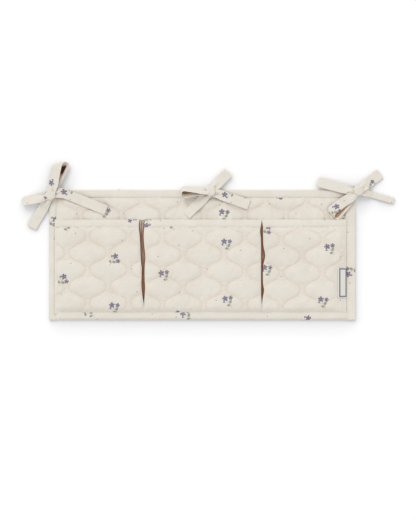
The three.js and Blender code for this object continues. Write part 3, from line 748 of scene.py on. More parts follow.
class Plan:
    """Places and heights that the pieces share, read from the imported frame."""

    def __init__(self) -> None:
        """Reads the boxes of the bindings, hems, linings and fronts."""
        side_low, side_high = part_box("right_binding")
        long_low, long_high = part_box("top_binding")
        self.right = side_high.x
        self.top = side_high.y
        self.side_tape = side_high.x - side_low.x
        self.long_tape = long_high.y - long_low.y
        self.inner_x = self.right - self.side_tape
        self.inner_y = self.top - self.long_tape
        self.crown_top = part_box("panel_face")[1].z
        lining_low, lining_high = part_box("centre_pocket_lining")
        self.seam_y = lining_low.y
        self.seam_z = lining_low.z
        self.sunk = 2.6 * MM
        self.mouth_sunk = 2.6 * MM
        self.lining_room = 0.5 * MM
        self.pocket_z = lining_high.z - self.lining_room - self.sunk
        hem_low, hem_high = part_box("centre_pocket_hem")
        self.mouth_y = hem_high.y
        self.hem_width = hem_high.y - hem_low.y
        self.hem_z = (hem_low.z - self.sunk, hem_high.z - self.sunk)
        wider_by = 7.0 * MM
        self.right_tape = self.side_tape + wider_by

    def edge(self, side: Side, name: str, **shape: object) -> Edge:
        """Reads one side of a pocket off its front's and its hem's boxes.

        Args:
            side: The pocket.
            name: "left" or "right".
            shape: How the side sags, as fields of Edge.

        Returns:
            The side's line.
        """
        corner = 0 if name == "left" else 1
        foot_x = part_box(f"{side.value}_pocket_face")[corner].x
        hem_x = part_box(f"{side.value}_pocket_hem")[corner].x
        hem_y = self.mouth_y - self.hem_width
        lean = (hem_x - foot_x) / (hem_y - self.seam_y)
        mouth_x = foot_x + lean * (self.mouth_y - self.seam_y)
        return Edge((foot_x, self.seam_y), (mouth_x, self.mouth_y), **shape)

    def inside_tapes(self, x: Array, y: Array) -> Array:
        """Distance from the tapes' inner lines, below 0 on the tapes."""
        return np.minimum(self.inner_x - np.abs(x), self.inner_y - np.abs(y))

    def mouth_sag(self, y: Array) -> Array:
        """How far a pocket sinks towards the panel near its mouth."""
        reach = 30.0 * MM
        return self.mouth_sunk * smooth((y - self.mouth_y) / reach + 1.0)

    def pocket_underside(self, y: Array) -> Array:
        """Height of a pocket's underside: flat, drawn down to the seam at its foot, sunk at its mouth."""
        rise = 12.0 * MM
        drawn = (self.pocket_z - self.seam_z) * (1.0 - rounding((y - self.seam_y) / rise)) ** 0.9
        return self.pocket_z - drawn - self.mouth_sag(y)


PLAN = Plan()


@dataclass(frozen=True)
class OgeeQuilting:
    """Wavy stitch lines that mirror each other and close into ogees. x and y are one ogee's middle."""

    x: float
    y: float
    width: float = 80.4 * MM
    height: float = 65.3 * MM
    sway: float = 15.8 * MM
    roundness: float = 1.2
    softness: float = 4.4 * MM
    gather_reach: float = 5.0 * MM
    gather_pitch: float = 8.2 * MM

    def line(self, number: Array, y: Array) -> Array:
        """X of a numbered stitch line at heights y."""
        wave = np.cos(2.0 * np.pi * (y - self.y) / self.height)
        swing = self.sway * np.tanh(self.roundness * wave) / math.tanh(self.roundness)
        return self.x + (number + 0.5) * self.width / 2.0 + np.where(number % 2, -swing, swing)

    def slant(self, y: Array) -> Array:
        """How much longer a stitch line is than its rise at heights y."""
        turn = 2.0 * np.pi / self.height
        wave = np.cos(turn * (y - self.y))
        steepest = self.sway * self.roundness / math.tanh(self.roundness)
        steepness = steepest / np.cosh(self.roundness * wave) ** 2
        return np.sqrt(1.0 + (steepness * turn * np.sin(turn * (y - self.y))) ** 2)

    def between(self, x: Array, y: Array) -> tuple[Array, Array, Array]:
        """Distances from the stitch lines on either side of each place, and the number of the left one."""
        guess = np.floor((x - self.x) / (self.width / 2.0) - 0.5)
        number = guess.copy()
        for shift in (-1.0, 1.0):
            inside = (self.line(guess + shift, y) <= x) & (x < self.line(guess + shift + 1.0, y))
            number = np.where(inside, guess + shift, number)
        slant = self.slant(y)
        return (x - self.line(number, y)) / slant, (self.line(number + 1.0, y) - x) / slant, number

    def puff(self, x: Array, y: Array) -> Array:
        """Share of the full puff: 0 on a stitch line, near 1 in the middle of an ogee."""
        left, right, _ = self.between(x, y)
        left = np.maximum(left, 0.0)
        right = np.maximum(right, 0.0)
        room = left * right / np.maximum(left + right, TINY)
        return 1.0 - np.exp(-room / self.softness)

    def pucker(self, x: Array, y: Array) -> Array:
        """Small gathers that cross the stitch lines and fade away from them, from about -1 to 1."""
        left, right, number = self.between(x, y)
        near = np.exp(-np.maximum(np.minimum(left, right), 0.0) / self.gather_reach)
        nearest = np.where(left < right, number, number + 1.0)
        phase = 2.4 * np.sin(nearest * 7.31) + GATHER_PHASE.at(x, y)
        return near * np.sin(2.0 * np.pi * y / self.gather_pitch + phase)


LINE_NUMBERS = np.arange(-12.0, 13.0)
SEAM_STEP = 0.5 * MM
THREAD_LIFT = 0.12 * MM


@dataclass(frozen=True)
class Drape:
    """An outer side of a pocket that hangs down onto the panel's tape.

    inward is 1 for a left side and -1 for a right one. level is the height that the side comes down to.
    """

    edge: Edge
    inward: float
    level: float = 5.4 * MM
    reach: float = 16.0 * MM

    def at(self, x: Array, y: Array) -> Array:
        """Heights to add at places x and y."""
        share = 1.0 - (x - self.edge.at(y)) * self.inward / self.reach
        return -np.maximum(PLAN.pocket_underside(y) - self.level, 0.0) * smooth(share)


@dataclass(frozen=True)
class Wadding:
    """How wadding fills cloth between its stitch lines: values of the cloth simulation."""

    pressure: float = 4.0
    growth: float = 0.012
    frames: int = 20
    quality: int = 4
    most: float = 1.1 * MM

    def fill(self, name: str, points: Array, flat: Array, sewn: Array) -> Array:
        """Lets cloth settle over its wadding.

        Args:
            name: Name of the pad.
            points: The cloth before, as rows x columns x 3.
            flat: Places on the uncut cloth.
            sewn: True where the cloth is held by thread or in a seam.

        Returns:
            The settled cloth.
        """
        trial = Workbench.sheet(f"{name}_trial", points, flat)
        group = trial.vertex_groups.new(name="sewn")
        group.add(np.flatnonzero(sewn.ravel()).tolist(), 1.0, "REPLACE")
        cloth = trial.modifiers.new("cloth", "CLOTH")
        cloth.point_cache.frame_end = self.frames
        cloth.collision_settings.use_collision = False
        settings = cloth.settings
        settings.quality = self.quality
        settings.vertex_group_mass = group.name
        settings.use_pressure = True
        settings.uniform_pressure_force = self.pressure
        settings.shrink_min = -self.growth
        settings.effector_weights.gravity = 0.0
        for step in range(1, self.frames + 1):
            bpy.context.scene.frame_set(step)
        Workbench.take(trial)
        bpy.ops.object.modifier_apply(modifier=cloth.name)
        moved = Workbench.points(trial).reshape(points.shape) - points
        bpy.data.objects.remove(trial)
        bpy.context.scene.frame_set(1)
        far = np.maximum(np.linalg.norm(moved, axis=-1, keepdims=True), TINY)
        log.info("%s settled: moved %.2f mm at most", name, float(far.max()) / MM)
        return points + moved * np.tanh(far / self.most) * self.most / far


WADDING = Wadding()


@dataclass
class QuiltedPad:
    """A quilted layer: cloth over wadding, with its margins sewn flat and its free sides rounded."""

    name: str
    left: Edge
    right: Edge
    foot: float
    head: float
    quilting: OgeeQuilting
    underside: Profile
    tuck_left: float = 0.0
    tuck_right: float = 0.0
    tuck_foot: float = 0.0
    tuck_head: float = 0.0
    thickness: float = 1.1 * MM
    thin_foot: float = 0.0
    crown: float = 2.3 * MM
    side_margin: float = 5.0 * MM
    end_margin: float = 9.0 * MM
    round_side: float = 2.0 * MM
    spacing: float = 1.5 * MM
    dimple: float = 0.0
    flat_spot: tuple[float, float, float, float] | None = None
    fold_depth: float = 0.5 * MM
    gathers: float = 0.16 * MM
    crowding: tuple[float, ...] = (0.0, 0.25 * MM, 0.7 * MM, 1.3 * MM)
    even_from: float = 2.0 * MM
    drapes: tuple[Drape, ...] = ()
    seed: int = 1

    def hang(self, x: Array, y: Array) -> Array:
        """How far the pad hangs down at its draped sides, as heights to add."""
        return sum((drape.at(x, y) for drape in self.drapes), np.zeros(np.broadcast(x, y).shape))

    def grid(self) -> tuple[Array, Array]:
        """X and Y of the pad's points: a plain grid whose points slide onto the stitch lines."""
        rows = int((self.head - self.foot) / self.spacing)
        y = np.linspace(self.foot, self.head, rows)[:, None]
        left, right = self.left.at(y), self.right.at(y)
        width = float(np.mean(right - left))
        shares = crowded(self.crowding, self.even_from, width, int(width / self.spacing))
        x = left + (right - left) * shares[None, :]
        held = len(self.crowding) + 2
        for row, lines in zip(x, self.quilting.line(LINE_NUMBERS[None, :], y)):
            inside = lines[(lines > row[held]) & (lines < row[-held - 1])]
            nearest = np.abs(row[:, None] - inside[None, :]).argmin(axis=0)
            row[nearest] = inside
        return x, np.broadcast_to(y, x.shape)

    def slack(self, x: Array, y: Array) -> Array:
        """How free the cloth is to puff up: 0 in the flat margins and 1 away from them."""
        left = x - self.left.at(y) - self.tuck_left
        right = self.right.at(y) - self.tuck_right - x
        pinch = smooth(left / self.side_margin) * smooth(right / self.side_margin)
        pinch = pinch * smooth((y - self.foot - self.tuck_foot) / self.end_margin)
        pinch = pinch * smooth((self.head - self.tuck_head - y) / self.end_margin)
        if self.flat_spot:
            middle_x, middle_y, half_x, half_y = self.flat_spot
            beyond = np.maximum(np.abs(x - middle_x) - half_x, np.abs(y - middle_y) - half_y)
            pinch = pinch * smooth((beyond - 1.0 * MM) / (10.0 * MM))
        return pinch

    def fold(self, x: Array, y: Array) -> Array:
        """1 on the crease along the inner side of the flat spot, where one is sewn down, else 0."""
        if not self.flat_spot:
            return np.zeros(np.broadcast(x, y).shape)
        middle_x, middle_y, half_x, half_y = self.flat_spot
        waver = 0.5 * MM * np.sin(y / (13.0 * MM))
        line = np.exp(-(((x - middle_x + half_x + waver) / (0.9 * MM)) ** 2))
        return line * smooth((half_y - np.abs(y - middle_y)) / (6.0 * MM))

    def rise(self, x: Array, y: Array) -> Array:
        """How far the cloth stands above its stitch lines."""
        plump = 1.0 + PLUMPNESS.at(x, y, self.seed)
        puffed = self.crown * plump * self.quilting.puff(x, y)
        gathered = self.gathers * self.quilting.pucker(x, y)
        creases = PAD_CREASES.at(x, y, self.seed)
        free = np.maximum(self.slack(x, y) * (puffed + gathered + creases), 0.0)
        return free - self.fold_depth * self.fold(x, y)

    def groove(self, x: Array, y: Array) -> Array:
        """How much painted shade darkens the cloth: 1 on the stitch lines, falling to 0 on top of the puffs
        and in the flat margins, and more on the flat spot's crease.
        """
        hollow = (1.0 - self.quilting.puff(x, y)) ** 1.5 * self.slack(x, y) ** 0.5
        return hollow + 3.0 * self.fold(x, y)

    def sewn(self, x: Array, y: Array) -> Array:
        """True where the cloth is held: on the stitch lines and in the flat margins."""
        left, right, _ = self.quilting.between(x, y)
        return (np.minimum(left, right) < 0.3 * MM) | (self.slack(x, y) < 0.3)

    def cloth_level(self, y: Array) -> Array:
        """Height of the stitch lines at heights y up the pad, thinned where its foot is sewn in."""
        if not self.thin_foot:
            return self.underside(y) + self.thickness
        share = smooth((y - self.foot) / (self.tuck_foot + self.end_margin))
        return self.underside(y) + self.thin_foot + (self.thickness - self.thin_foot) * share

    def skins(self) -> tuple[Array, Array, Array]:
        """Upper and lower skin of the pad, and the places of their points on the uncut cloth."""
        x, y = self.grid()
        hang = self.hang(x, y)
        under = self.underside(y) + hang
        upper = self.cloth_level(y) + hang + self.rise(x, y)
        lower = under + self.dimple * (1.0 - self.quilting.puff(x, y))
        reach = np.minimum(x - self.left.at(y), self.right.at(y) - x)
        least = 0.04
        roundness = np.maximum(rounding(reach / self.round_side), least)
        middle = under + 0.45 * self.thickness
        upper = middle + (upper - middle) * roundness
        lower = middle + (lower - middle) * roundness
        along = running_sum(np.hypot(np.gradient(y[:, 0]), np.gradient(self.underside(y[:, 0]))))
        return joined(x, y, upper), joined(x, y, lower), joined(x, along[:, None])

    def build(self, shift: Pair) -> Piece:
        """Makes the closed pad.

        Args:
            shift: Where the pad was cut from the printed cloth.

        Returns:
            The pad, dressed in printed cotton.
        """
        upper, lower, flat = self.skins()
        # Painted shade: a number that darkens the stitch lines, kept on the upper skin only.
        groove = self.groove(upper[..., 0], upper[..., 1])
        upper = WADDING.fill(self.name, upper, flat, self.sewn(upper[..., 0], upper[..., 1]))
        piece = Workbench.closed(self.name, upper, lower, flat + np.array(shift))
        Workbench.note(piece, GROOVE_SHADE, np.concatenate([groove.ravel(), np.zeros(groove.size)]))
        return Workbench.dress(piece, PRINTED, Slot.QUILT)

    def stitch_lines(self) -> list[Array]:
        """Points along each quilting line on the pad's upper skin, from foot to head."""
        margin = 0.8 * MM
        fewest = 8
        y = np.arange(self.foot + self.tuck_foot, self.head - self.tuck_head, SEAM_STEP)
        runs = []
        for number in LINE_NUMBERS:
            x = self.quilting.line(np.full_like(y, number), y)
            inside = x > self.left.at(y) + self.tuck_left + margin
            inside &= x < self.right.at(y) - self.tuck_right - margin
            points = joined(x, y, self.cloth_level(y) + self.hang(x, y) + THREAD_LIFT)
            breaks = np.flatnonzero(np.diff(inside.astype(int))) + 1
            for part, kept in zip(np.split(points, breaks), np.split(inside, breaks)):
                if kept[0] and len(part) > fewest:
                    runs.append(part)
        return runs


@dataclass(frozen=True)
class Stitch:
    """One stitch of thread, copied along seams."""

    length: float = 2.5 * MM
    gap: float = 1.0 * MM
    thick: float = 0.34 * MM

    def pattern(self) -> tuple[Array, list[tuple[int, ...]]]:
        """Models one stitch along X: a short thread that dips into the cloth at both ends."""
        bpy.ops.object.select_all(action="DESELECT")
        bpy.ops.mesh.primitive_cylinder_add(vertices=6, radius=self.thick / 2.0, depth=self.length)
        piece = bpy.context.object
        bpy.ops.object.mode_set(mode="EDIT")
        bpy.ops.mesh.select_all(action="SELECT")
        bpy.ops.mesh.bisect(plane_co=(0, 0, 0), plane_no=(0, 0, 1))
        bpy.ops.object.mode_set(mode="OBJECT")
        points = Workbench.points(piece)
        faces = [tuple(face.vertices) for face in piece.data.polygons]
        bpy.data.objects.remove(piece)
        points = points[:, [2, 0, 1]]
        share = np.abs(points[:, 0]) / (self.length / 2.0)
        points[:, 2] -= 0.3 * MM * share**2
        points[:, 1:] *= (1.0 - 0.35 * share**2)[:, None]
        return points, faces

    def sew(self, name: str, runs: Sequence[Array]) -> Piece:
        """Copies the stitch along runs of points into one mesh.

        Args:
            name: The thread's name.
            runs: Points along each seam, on the cloth's surface.

        Returns:
            All the stitches, dressed as thread.
        """
        pattern, faces = self.pattern()
        points: list[Array] = []
        corners: list[tuple[int, ...]] = []
        for run in runs:
            for middle, along in self.places(run):
                side = np.cross(UP, along)
                side /= max(float(np.linalg.norm(side)), TINY)
                base = len(points) * len(pattern)
                points.append(middle + pattern @ np.stack([along, side, np.cross(along, side)]))
                corners.extend(tuple(corner + base for corner in face) for face in faces)
        mesh = bpy.data.meshes.new(name)
        mesh.from_pydata(np.concatenate(points).tolist(), [], corners)
        piece = bpy.data.objects.new(name, mesh)
        bpy.context.scene.collection.objects.link(piece)
        Workbench.take(piece)
        bpy.ops.object.shade_smooth()
        mesh.uv_layers.new(name="UVMap")
        return Workbench.dress(piece, THREAD, Slot.QUILT)

    def places(self, run: Array) -> list[tuple[Array, Array]]:
        """Middles and directions of the stitches along one run of points."""
        way = reached(run)
        pitch = self.length + self.gap
        found = []
        for start in np.arange(pitch / 2.0, way[-1] - pitch / 2.0, pitch):
            ends = (start - self.length / 2.0, start + self.length / 2.0)
            first, last = np.stack([np.interp(ends, way, axis) for axis in run.T], axis=1)
            along = (last - first) / max(float(np.linalg.norm(last - first)), TINY)
            found.append(((first + last) / 2.0, along))
        return found


STITCH = Stitch()


class BackPanel:
    """The padded back: quilted front, plain rear lining and their quilting thread."""

    quilting = OgeeQuilting(-117.4 * MM, 75.6 * MM)
    base = 0.75 * MM
    margin = 1.6 * MM

    @classmethod
    def pad(cls) -> QuiltedPad:
        """Measures of the quilted front."""
        half_x = PLAN.right - cls.margin
        half_y = PLAN.top - cls.margin
        return QuiltedPad(
            "panel_quilt",
            Edge((-half_x, -half_y), (-half_x, half_y)),
            Edge((half_x, -half_y), (half_x, half_y)),
            -half_y,
            half_y,
            cls.quilting,
            lambda y: np.full_like(y, cls.base),
            tuck_left=PLAN.side_tape - cls.margin,
            tuck_right=PLAN.right_tape - cls.margin,
            tuck_foot=PLAN.long_tape - cls.margin,
            tuck_head=PLAN.long_tape - cls.margin,
            thickness=3.0 * MM,
            crown=2.3 * MM,
            spacing=1.9 * MM,
            dimple=0.9 * MM,
            seed=3,
        )

    def build(self) -> None:
        """Makes the pad, the lining and the thread, all on the panel."""
        pad = self.pad()
        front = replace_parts(pad.build((0.013, 0.031)), "panel_face", "panel_wadding")
        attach(front, "panel")
        thread = STITCH.sew("panel_quilting_thread", pad.stitch_lines())
        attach(thread, "panel")
        self.build_lining(pad)

    def build_lining(self, pad: QuiltedPad) -> None:
        """Makes the rear lining, dimpled where the quilting pulls it in."""
        x, y = pad.grid()
        x, y = x[::2, ::2], y[::2, ::2]
        drawn_in = pad.dimple * (1.0 - self.quilting.puff(x, y)) + 0.1 * MM
        beside_tape = PLAN.inside_tapes(x, y)
        lifted = 1.0 * MM * (1.0 - smooth(beside_tape / (6.0 * MM)))
        z = np.maximum(drawn_in, lifted) + 0.06 * MM * (1.0 + unevenness(x, y, 25.0 * MM, 8))
        skin = (joined(x, y, z), joined(x, y))
        lining = Workbench.cloth("panel_rear_lining", skin, (0.3 * MM, 1.0), LINING, Slot.LINING)
        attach(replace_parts(lining, "panel_lining"), "panel")


@dataclass
class FoldedTape:
    """A cotton tape folded over an edge and sewn through both layers."""

    name: str
    width: float
    low: float
    high: float
    puff: float = 0.9 * MM
    gather: float = 0.22 * MM
    lift: float = 0.0
    wall: float = 0.7 * MM
    fold: float = 1.9 * MM
    seam: float = 2.4 * MM
    spacing: float = 2.2 * MM
    closed_over: float = 2.2 * MM
    crowding: tuple[float, ...] = (0.0, 0.3 * MM, 0.9 * MM, 1.8 * MM)
    even_from: float = 3.0 * MM
    seed: int = 1

    @property
    def middle(self) -> float:
        """Height midway between the tape's two layers."""
        return (self.low + self.high) / 2.0

    def front(self, along: Array, inward: Array, length: float) -> Array:
        """How the tape's front departs from its section: gathers, waves, sunk seam and edge, and lift.

        Args:
            along: Distances along the tape.
            inward: Distances from the fold.
            length: Length of the tape.

        Returns:
            Heights to add.
        """
        inner = smooth(inward / self.width)
        gathers = self.gather * unevenness(along, inward * 0.3, 11.0 * MM, self.seed) * inner
        waves = TAPE_WAVES.at(along, inward, self.seed)
        sunk = 0.3 * MM * np.exp(-(((inward - self.width + self.seam) / (1.2 * MM)) ** 2))
        ends = smooth(np.minimum(along, length - along) / (9.0 * MM))
        raised = smooth(inward / (0.28 * self.width))
        pressed = 0.5 * MM * smooth((inward - self.width) / (2.6 * MM) + 1.0)
        return gathers + waves - sunk - pressed + self.lift * raised * ends

    def section(self, count: int = 11) -> tuple[Array, Array]:
        """Inward and height coordinates of the tape's section, from its rear hem round to its front one."""
        half = (self.high - self.low) / 2.0
        flat = np.linspace(0.0, 1.0, count)
        inward = self.width + (self.fold - self.width) * flat
        swell = self.puff * np.sin(np.pi * flat) ** 0.8
        turn = half_turn(9)
        round_x = self.fold * (1.0 - np.cos(turn))
        round_z = self.middle + half * np.sin(turn)
        x = np.concatenate([inward, round_x, inward[::-1]])
        z = np.concatenate([self.low + 0.15 * swell, round_z, self.high + swell[::-1]])
        return x, z

    def skin(self, length: float) -> tuple[Array, Array, Array, Array]:
        """Places on the tape before it is laid along its edge.

        Args:
            length: Length of the tape.

        Returns:
            Share of the length, inward distance, height, and places on the uncut tape.
        """
        inward, height = self.section()
        around = reached(joined(inward, height))[:, None]
        shares = crowded(self.crowding, self.even_from, length, int(length / self.spacing))[None, :]
        along = shares * length
        inward, height = inward[:, None], height[:, None]
        lifted = height + self.front(along, inward, length) * (height > self.middle)
        open_end = 0.25
        from_end = np.minimum(along, length - along)
        closing = rounding(from_end / self.closed_over) * (1.0 - open_end) + open_end
        lifted = self.middle + (lifted - self.middle) * closing
        waver = TAPE_WAVER.at(along, along * 0.0, self.seed)
        inward = inward + waver * smooth(inward / self.width)
        shape = lifted.shape
        return np.broadcast_to(shares, shape), np.broadcast_to(inward, shape), lifted, joined(along, around)

    def finish(self, points: Array, flat: Array, length: float) -> Piece:
        """Turns the tape's skin into a dressed piece.

        Args:
            points: The skin's places.
            flat: The same places on the uncut tape.
            length: Not used.

        Returns:
            The tape.
        """
        piece = Workbench.cloth(self.name, (points, flat), (self.wall, -1.0), TAPED, Slot.BINDING)
        return piece

    def seam_run(self, length: float) -> tuple[Array, Array, Array]:
        """Shares, inward distances and heights along the tape's front seam."""
        end = 2.0 * MM
        shares = np.arange(end, length - end, SEAM_STEP) / length
        inward = np.full_like(shares, self.width - self.seam)
        swell = self.puff * math.sin(math.pi * self.seam / (self.width - self.fold)) ** 0.8
        return shares, inward, self.high + swell + self.front(shares * length, inward, length) + THREAD_LIFT


class Bindings:
    """Four tapes round the panel. The side lengths run over the ends of the other two."""

    low = 0.05 * MM
    top = 4.45 * MM
    offset = 0.3 * MM
    over_pockets = 3.0 * MM
    puff = 0.5 * MM

    def build(self) -> None:
        """Makes each tape and the thread along it. The bottom one lies over the pockets' feet."""
        long_length = 2.0 * (PLAN.inner_x + 1.0 * MM)
        side_length = 2.0 * PLAN.top
        edges = [
            ("bottom", PLAN.long_tape, long_length, (0.0, -PLAN.top), 0.0, self.over_pockets),
            ("right", PLAN.right_tape, side_length, (PLAN.right, 0.0), math.pi / 2.0, 0.0),
            ("top", PLAN.long_tape, long_length, (0.0, PLAN.top), math.pi, 0.0),
            ("left", PLAN.side_tape, side_length, (-PLAN.right, 0.0), -math.pi / 2.0, 0.0),
        ]
        runs = []
        for number, (name, width, length, middle, turn, lift) in enumerate(edges):
            top = self.top + (self.offset if length == side_length else 0.0)
            tape = FoldedTape(
                f"{name}_edge_tape", width, self.low, top, puff=self.puff, lift=lift, seed=number + 1
            )
            shares, inward, height, flat = tape.skin(length)
            points = self.laid(shares, inward, height, length, middle, turn)
            cut = flat + np.array([0.07 * number, 0.02 + 0.03 * number])
            piece = tape.finish(points, cut, length)
            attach(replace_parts(piece, f"{name}_binding"), "panel")
            runs.append(self.laid(*tape.seam_run(length), length, middle, turn))
        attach(STITCH.sew("edge_tape_thread", runs), "panel")

    @staticmethod
    def laid(
        shares: Array, inward: Array, height: Array, length: float, middle: Pair, turn: float
    ) -> Array:
        """Lays places on a tape along an edge of the panel.

        Args:
            shares: Shares of the tape's length.
            inward: Distances from the fold.
            height: Heights above the ground.
            length: Length of the tape.
            middle: Middle of the panel's edge.
            turn: Angle of the edge.

        Returns:
            The places in the frame.
        """
        along = (shares - 0.5) * length
        x = middle[0] + along * math.cos(turn) - inward * math.sin(turn)
        y = middle[1] + along * math.sin(turn) + inward * math.cos(turn)
        return joined(x, y, height)


@dataclass
class Pocket:
    """One pocket: quilted front, lining, taped mouth and thread."""

    side: Side
    left: Edge
    right: Edge
    quilting: OgeeQuilting
    cut_from: Pair
    drapes: tuple[Drape, ...] = ()
    flat_spot: tuple[float, float, float, float] | None = None
    tucked: float = 4.0 * MM
    under_hem: float = 1.6 * MM
    bending: float = 16.0 * MM
    seed: int = 1

    @property
    def body(self) -> str:
        """The body that swings about the pocket's bottom seam."""
        return f"{self.side.value}_pocket"

    def hinge(self, piece: Piece) -> Piece:
        """Bakes a piece's placement into its mesh."""
        start = (0.0, PLAN.seam_y, PLAN.seam_z)
        end = (0.0, PLAN.seam_y + self.bending, PLAN.seam_z)
        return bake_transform(piece, "panel", self.body, start=start, end=end)

    def build(self) -> QuiltedPad:
        """Makes the pocket's pieces and returns its pad's measures."""
        prefix = self.body
        pad = QuiltedPad(
            f"{prefix}_front",
            self.left,
            self.right,
            PLAN.seam_y - self.tucked,
            PLAN.mouth_y - self.under_hem,
            self.quilting,
            lambda y: PLAN.pocket_underside(y) + PLAN.lining_room,
            tuck_foot=self.tucked,
            tuck_head=PLAN.hem_width - self.under_hem,
            thin_foot=0.3 * MM,
            flat_spot=self.flat_spot,
            drapes=self.drapes,
            seed=self.seed,
        )
        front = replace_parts(pad.build(self.cut_from), f"{prefix}_face")
        self.hinge(front)
        self.hinge(STITCH.sew(f"{prefix}_quilting_thread", pad.stitch_lines()))
        self.build_lining(pad)
        self.build_mouth(pad)
        return pad

    def build_lining(self, pad: QuiltedPad) -> None:
        """Makes the plain lining behind the front."""
        x, y = pad.grid()
        x, y = x[::3, ::3], y[::3, ::3]
        inset = 0.8 * MM
        x = np.clip(x, self.left.at(y) + inset, self.right.at(y) - inset)
        z = PLAN.pocket_underside(y) + pad.hang(x, y) + LINING_WAVES.at(x, y, self.seed)
        skin = (joined(x, y, z), joined(x, y))
        lining = Workbench.cloth(f"{self.body}_back", skin, (0.35 * MM, 1.0), LINING, Slot.LINING)
        width = float(np.mean(self.right.at(y) - self.left.at(y)))
        self.hinge(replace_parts(lining, f"{self.body}_lining"))

    def build_mouth(self, pad: QuiltedPad) -> None:
        """Makes the tape round the mouth and its thread."""
        length = abs(self.right.mouth[0] - self.left.mouth[0])
        low, high = PLAN.hem_z
        tape = FoldedTape(
            f"{self.body}_mouth_tape",
            PLAN.hem_width,
            low + 0.8 * MM,
            high - 1.6 * MM,
            puff=0.7 * MM,
            gather=0.34 * MM,
            seed=self.seed + 9,
        )
        shares, inward, height, flat = tape.skin(length)
        points = self.laid(pad, shares, inward, height)
        cut = flat + np.array(self.cut_from) + np.array([0.045, 0.02])
        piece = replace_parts(tape.finish(points, cut, length), f"{self.body}_hem")
        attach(piece, self.body)
        thread = STITCH.sew(f"{self.body}_mouth_thread", [self.laid(pad, *tape.seam_run(length))])
        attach(thread, self.body)

    def laid(self, pad: QuiltedPad, shares: Array, inward: Array, height: Array) -> Array:
        """Lays places on a tape along the mouth, from the right side to the left one."""
        y = PLAN.mouth_y - inward
        beyond = 0.3 * MM
        left, right = self.left.at(y) - beyond, self.right.at(y) + beyond
        x = right + (left - right) * shares
        return joined(x, y, height + pad.hang(x, y) - PLAN.mouth_sag(y))


@dataclass(frozen=True)
class PleatEnds:
    """How a half pleat ends: how far below the mouth, behind its start and inside its front's edge."""

    below_mouth: float
    shift: float
    inset: float


HANGING = PleatEnds(13.0 * MM, 12.0 * MM, 15.0 * MM)
UPRIGHT = PleatEnds(1.5 * MM, -0.05 * MM, 0.7 * MM)


@dataclass
class Pleat:
    """Half of a folded pocket side: from the panel out, round the inner fold and back to a front's edge."""

    name: str
    body: str
    edge: Edge
    facing: Edge
    inward: float
    replaced: str
    drapes: tuple[Drape, ...] = ()
    depth: float = 24.0 * MM
    wall: float = 0.5 * MM
    seed: int = 1

    def build(self) -> None:
        """Makes the folded sheet, which opens between the panel and its pocket."""
        ends = HANGING if self.drapes else UPRIGHT
        rows = np.linspace(PLAN.seam_y + 3.0 * MM, PLAN.mouth_y - ends.below_mouth, 98)[:, None]
        low = PLAN.crown_top + 1.1 * MM
        under_hem = smooth((rows - PLAN.mouth_y + PLAN.hem_width + 4.0 * MM) / (4.0 * MM))
        high = PLAN.pocket_underside(rows) - 0.9 * MM - 1.1 * MM * under_hem
        high = np.maximum(high, low + 0.6 * MM)
        radius = (high - low) / 2.0
        flat = np.linspace(0.0, 1.0, 12)[None, :]
        turn = half_turn(9)[None, :]
        edge = self.edge.at(rows)
        fold = edge + self.inward * (self.depth - radius)
        start = (edge + self.facing.at(rows)) / 2.0 + self.inward * ends.shift
        lower_x = start + (fold - start) * flat
        kept = 1.0 - 0.97 * under_hem
        upper_x = fold + (edge + self.inward * ends.inset - fold) * flat * kept
        x = np.concatenate([lower_x, fold + self.inward * radius * np.cos(turn), upper_x], axis=1)
        lower_z = low + 0.0 * lower_x
        upper_z = high + sum((drape.at(upper_x, rows) for drape in self.drapes), 0.0 * upper_x)
        z = np.concatenate([lower_z, low + radius + radius * np.sin(turn), upper_z], axis=1)
        y = np.broadcast_to(rows, x.shape)
        loose = np.minimum(np.arange(x.shape[1]) / flat.size, 1.0)
        points = joined(x, y, z + loose * PLEAT_WAVES.at(x * 2.0, y, self.seed))
        measured_row = 45
        across = reached(points[measured_row])
        # The divider pleats take the strongly painted crease shade; the draped outer ones take the plain
        # lining.
        finish = LINING if self.drapes else PLEAT_SHADED
        piece = Workbench.cloth(self.name, (points, joined(across, y)), (self.wall, 0.0), finish, Slot.QUILT)
        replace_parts(piece, self.replaced)
        self.body
        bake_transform(piece)


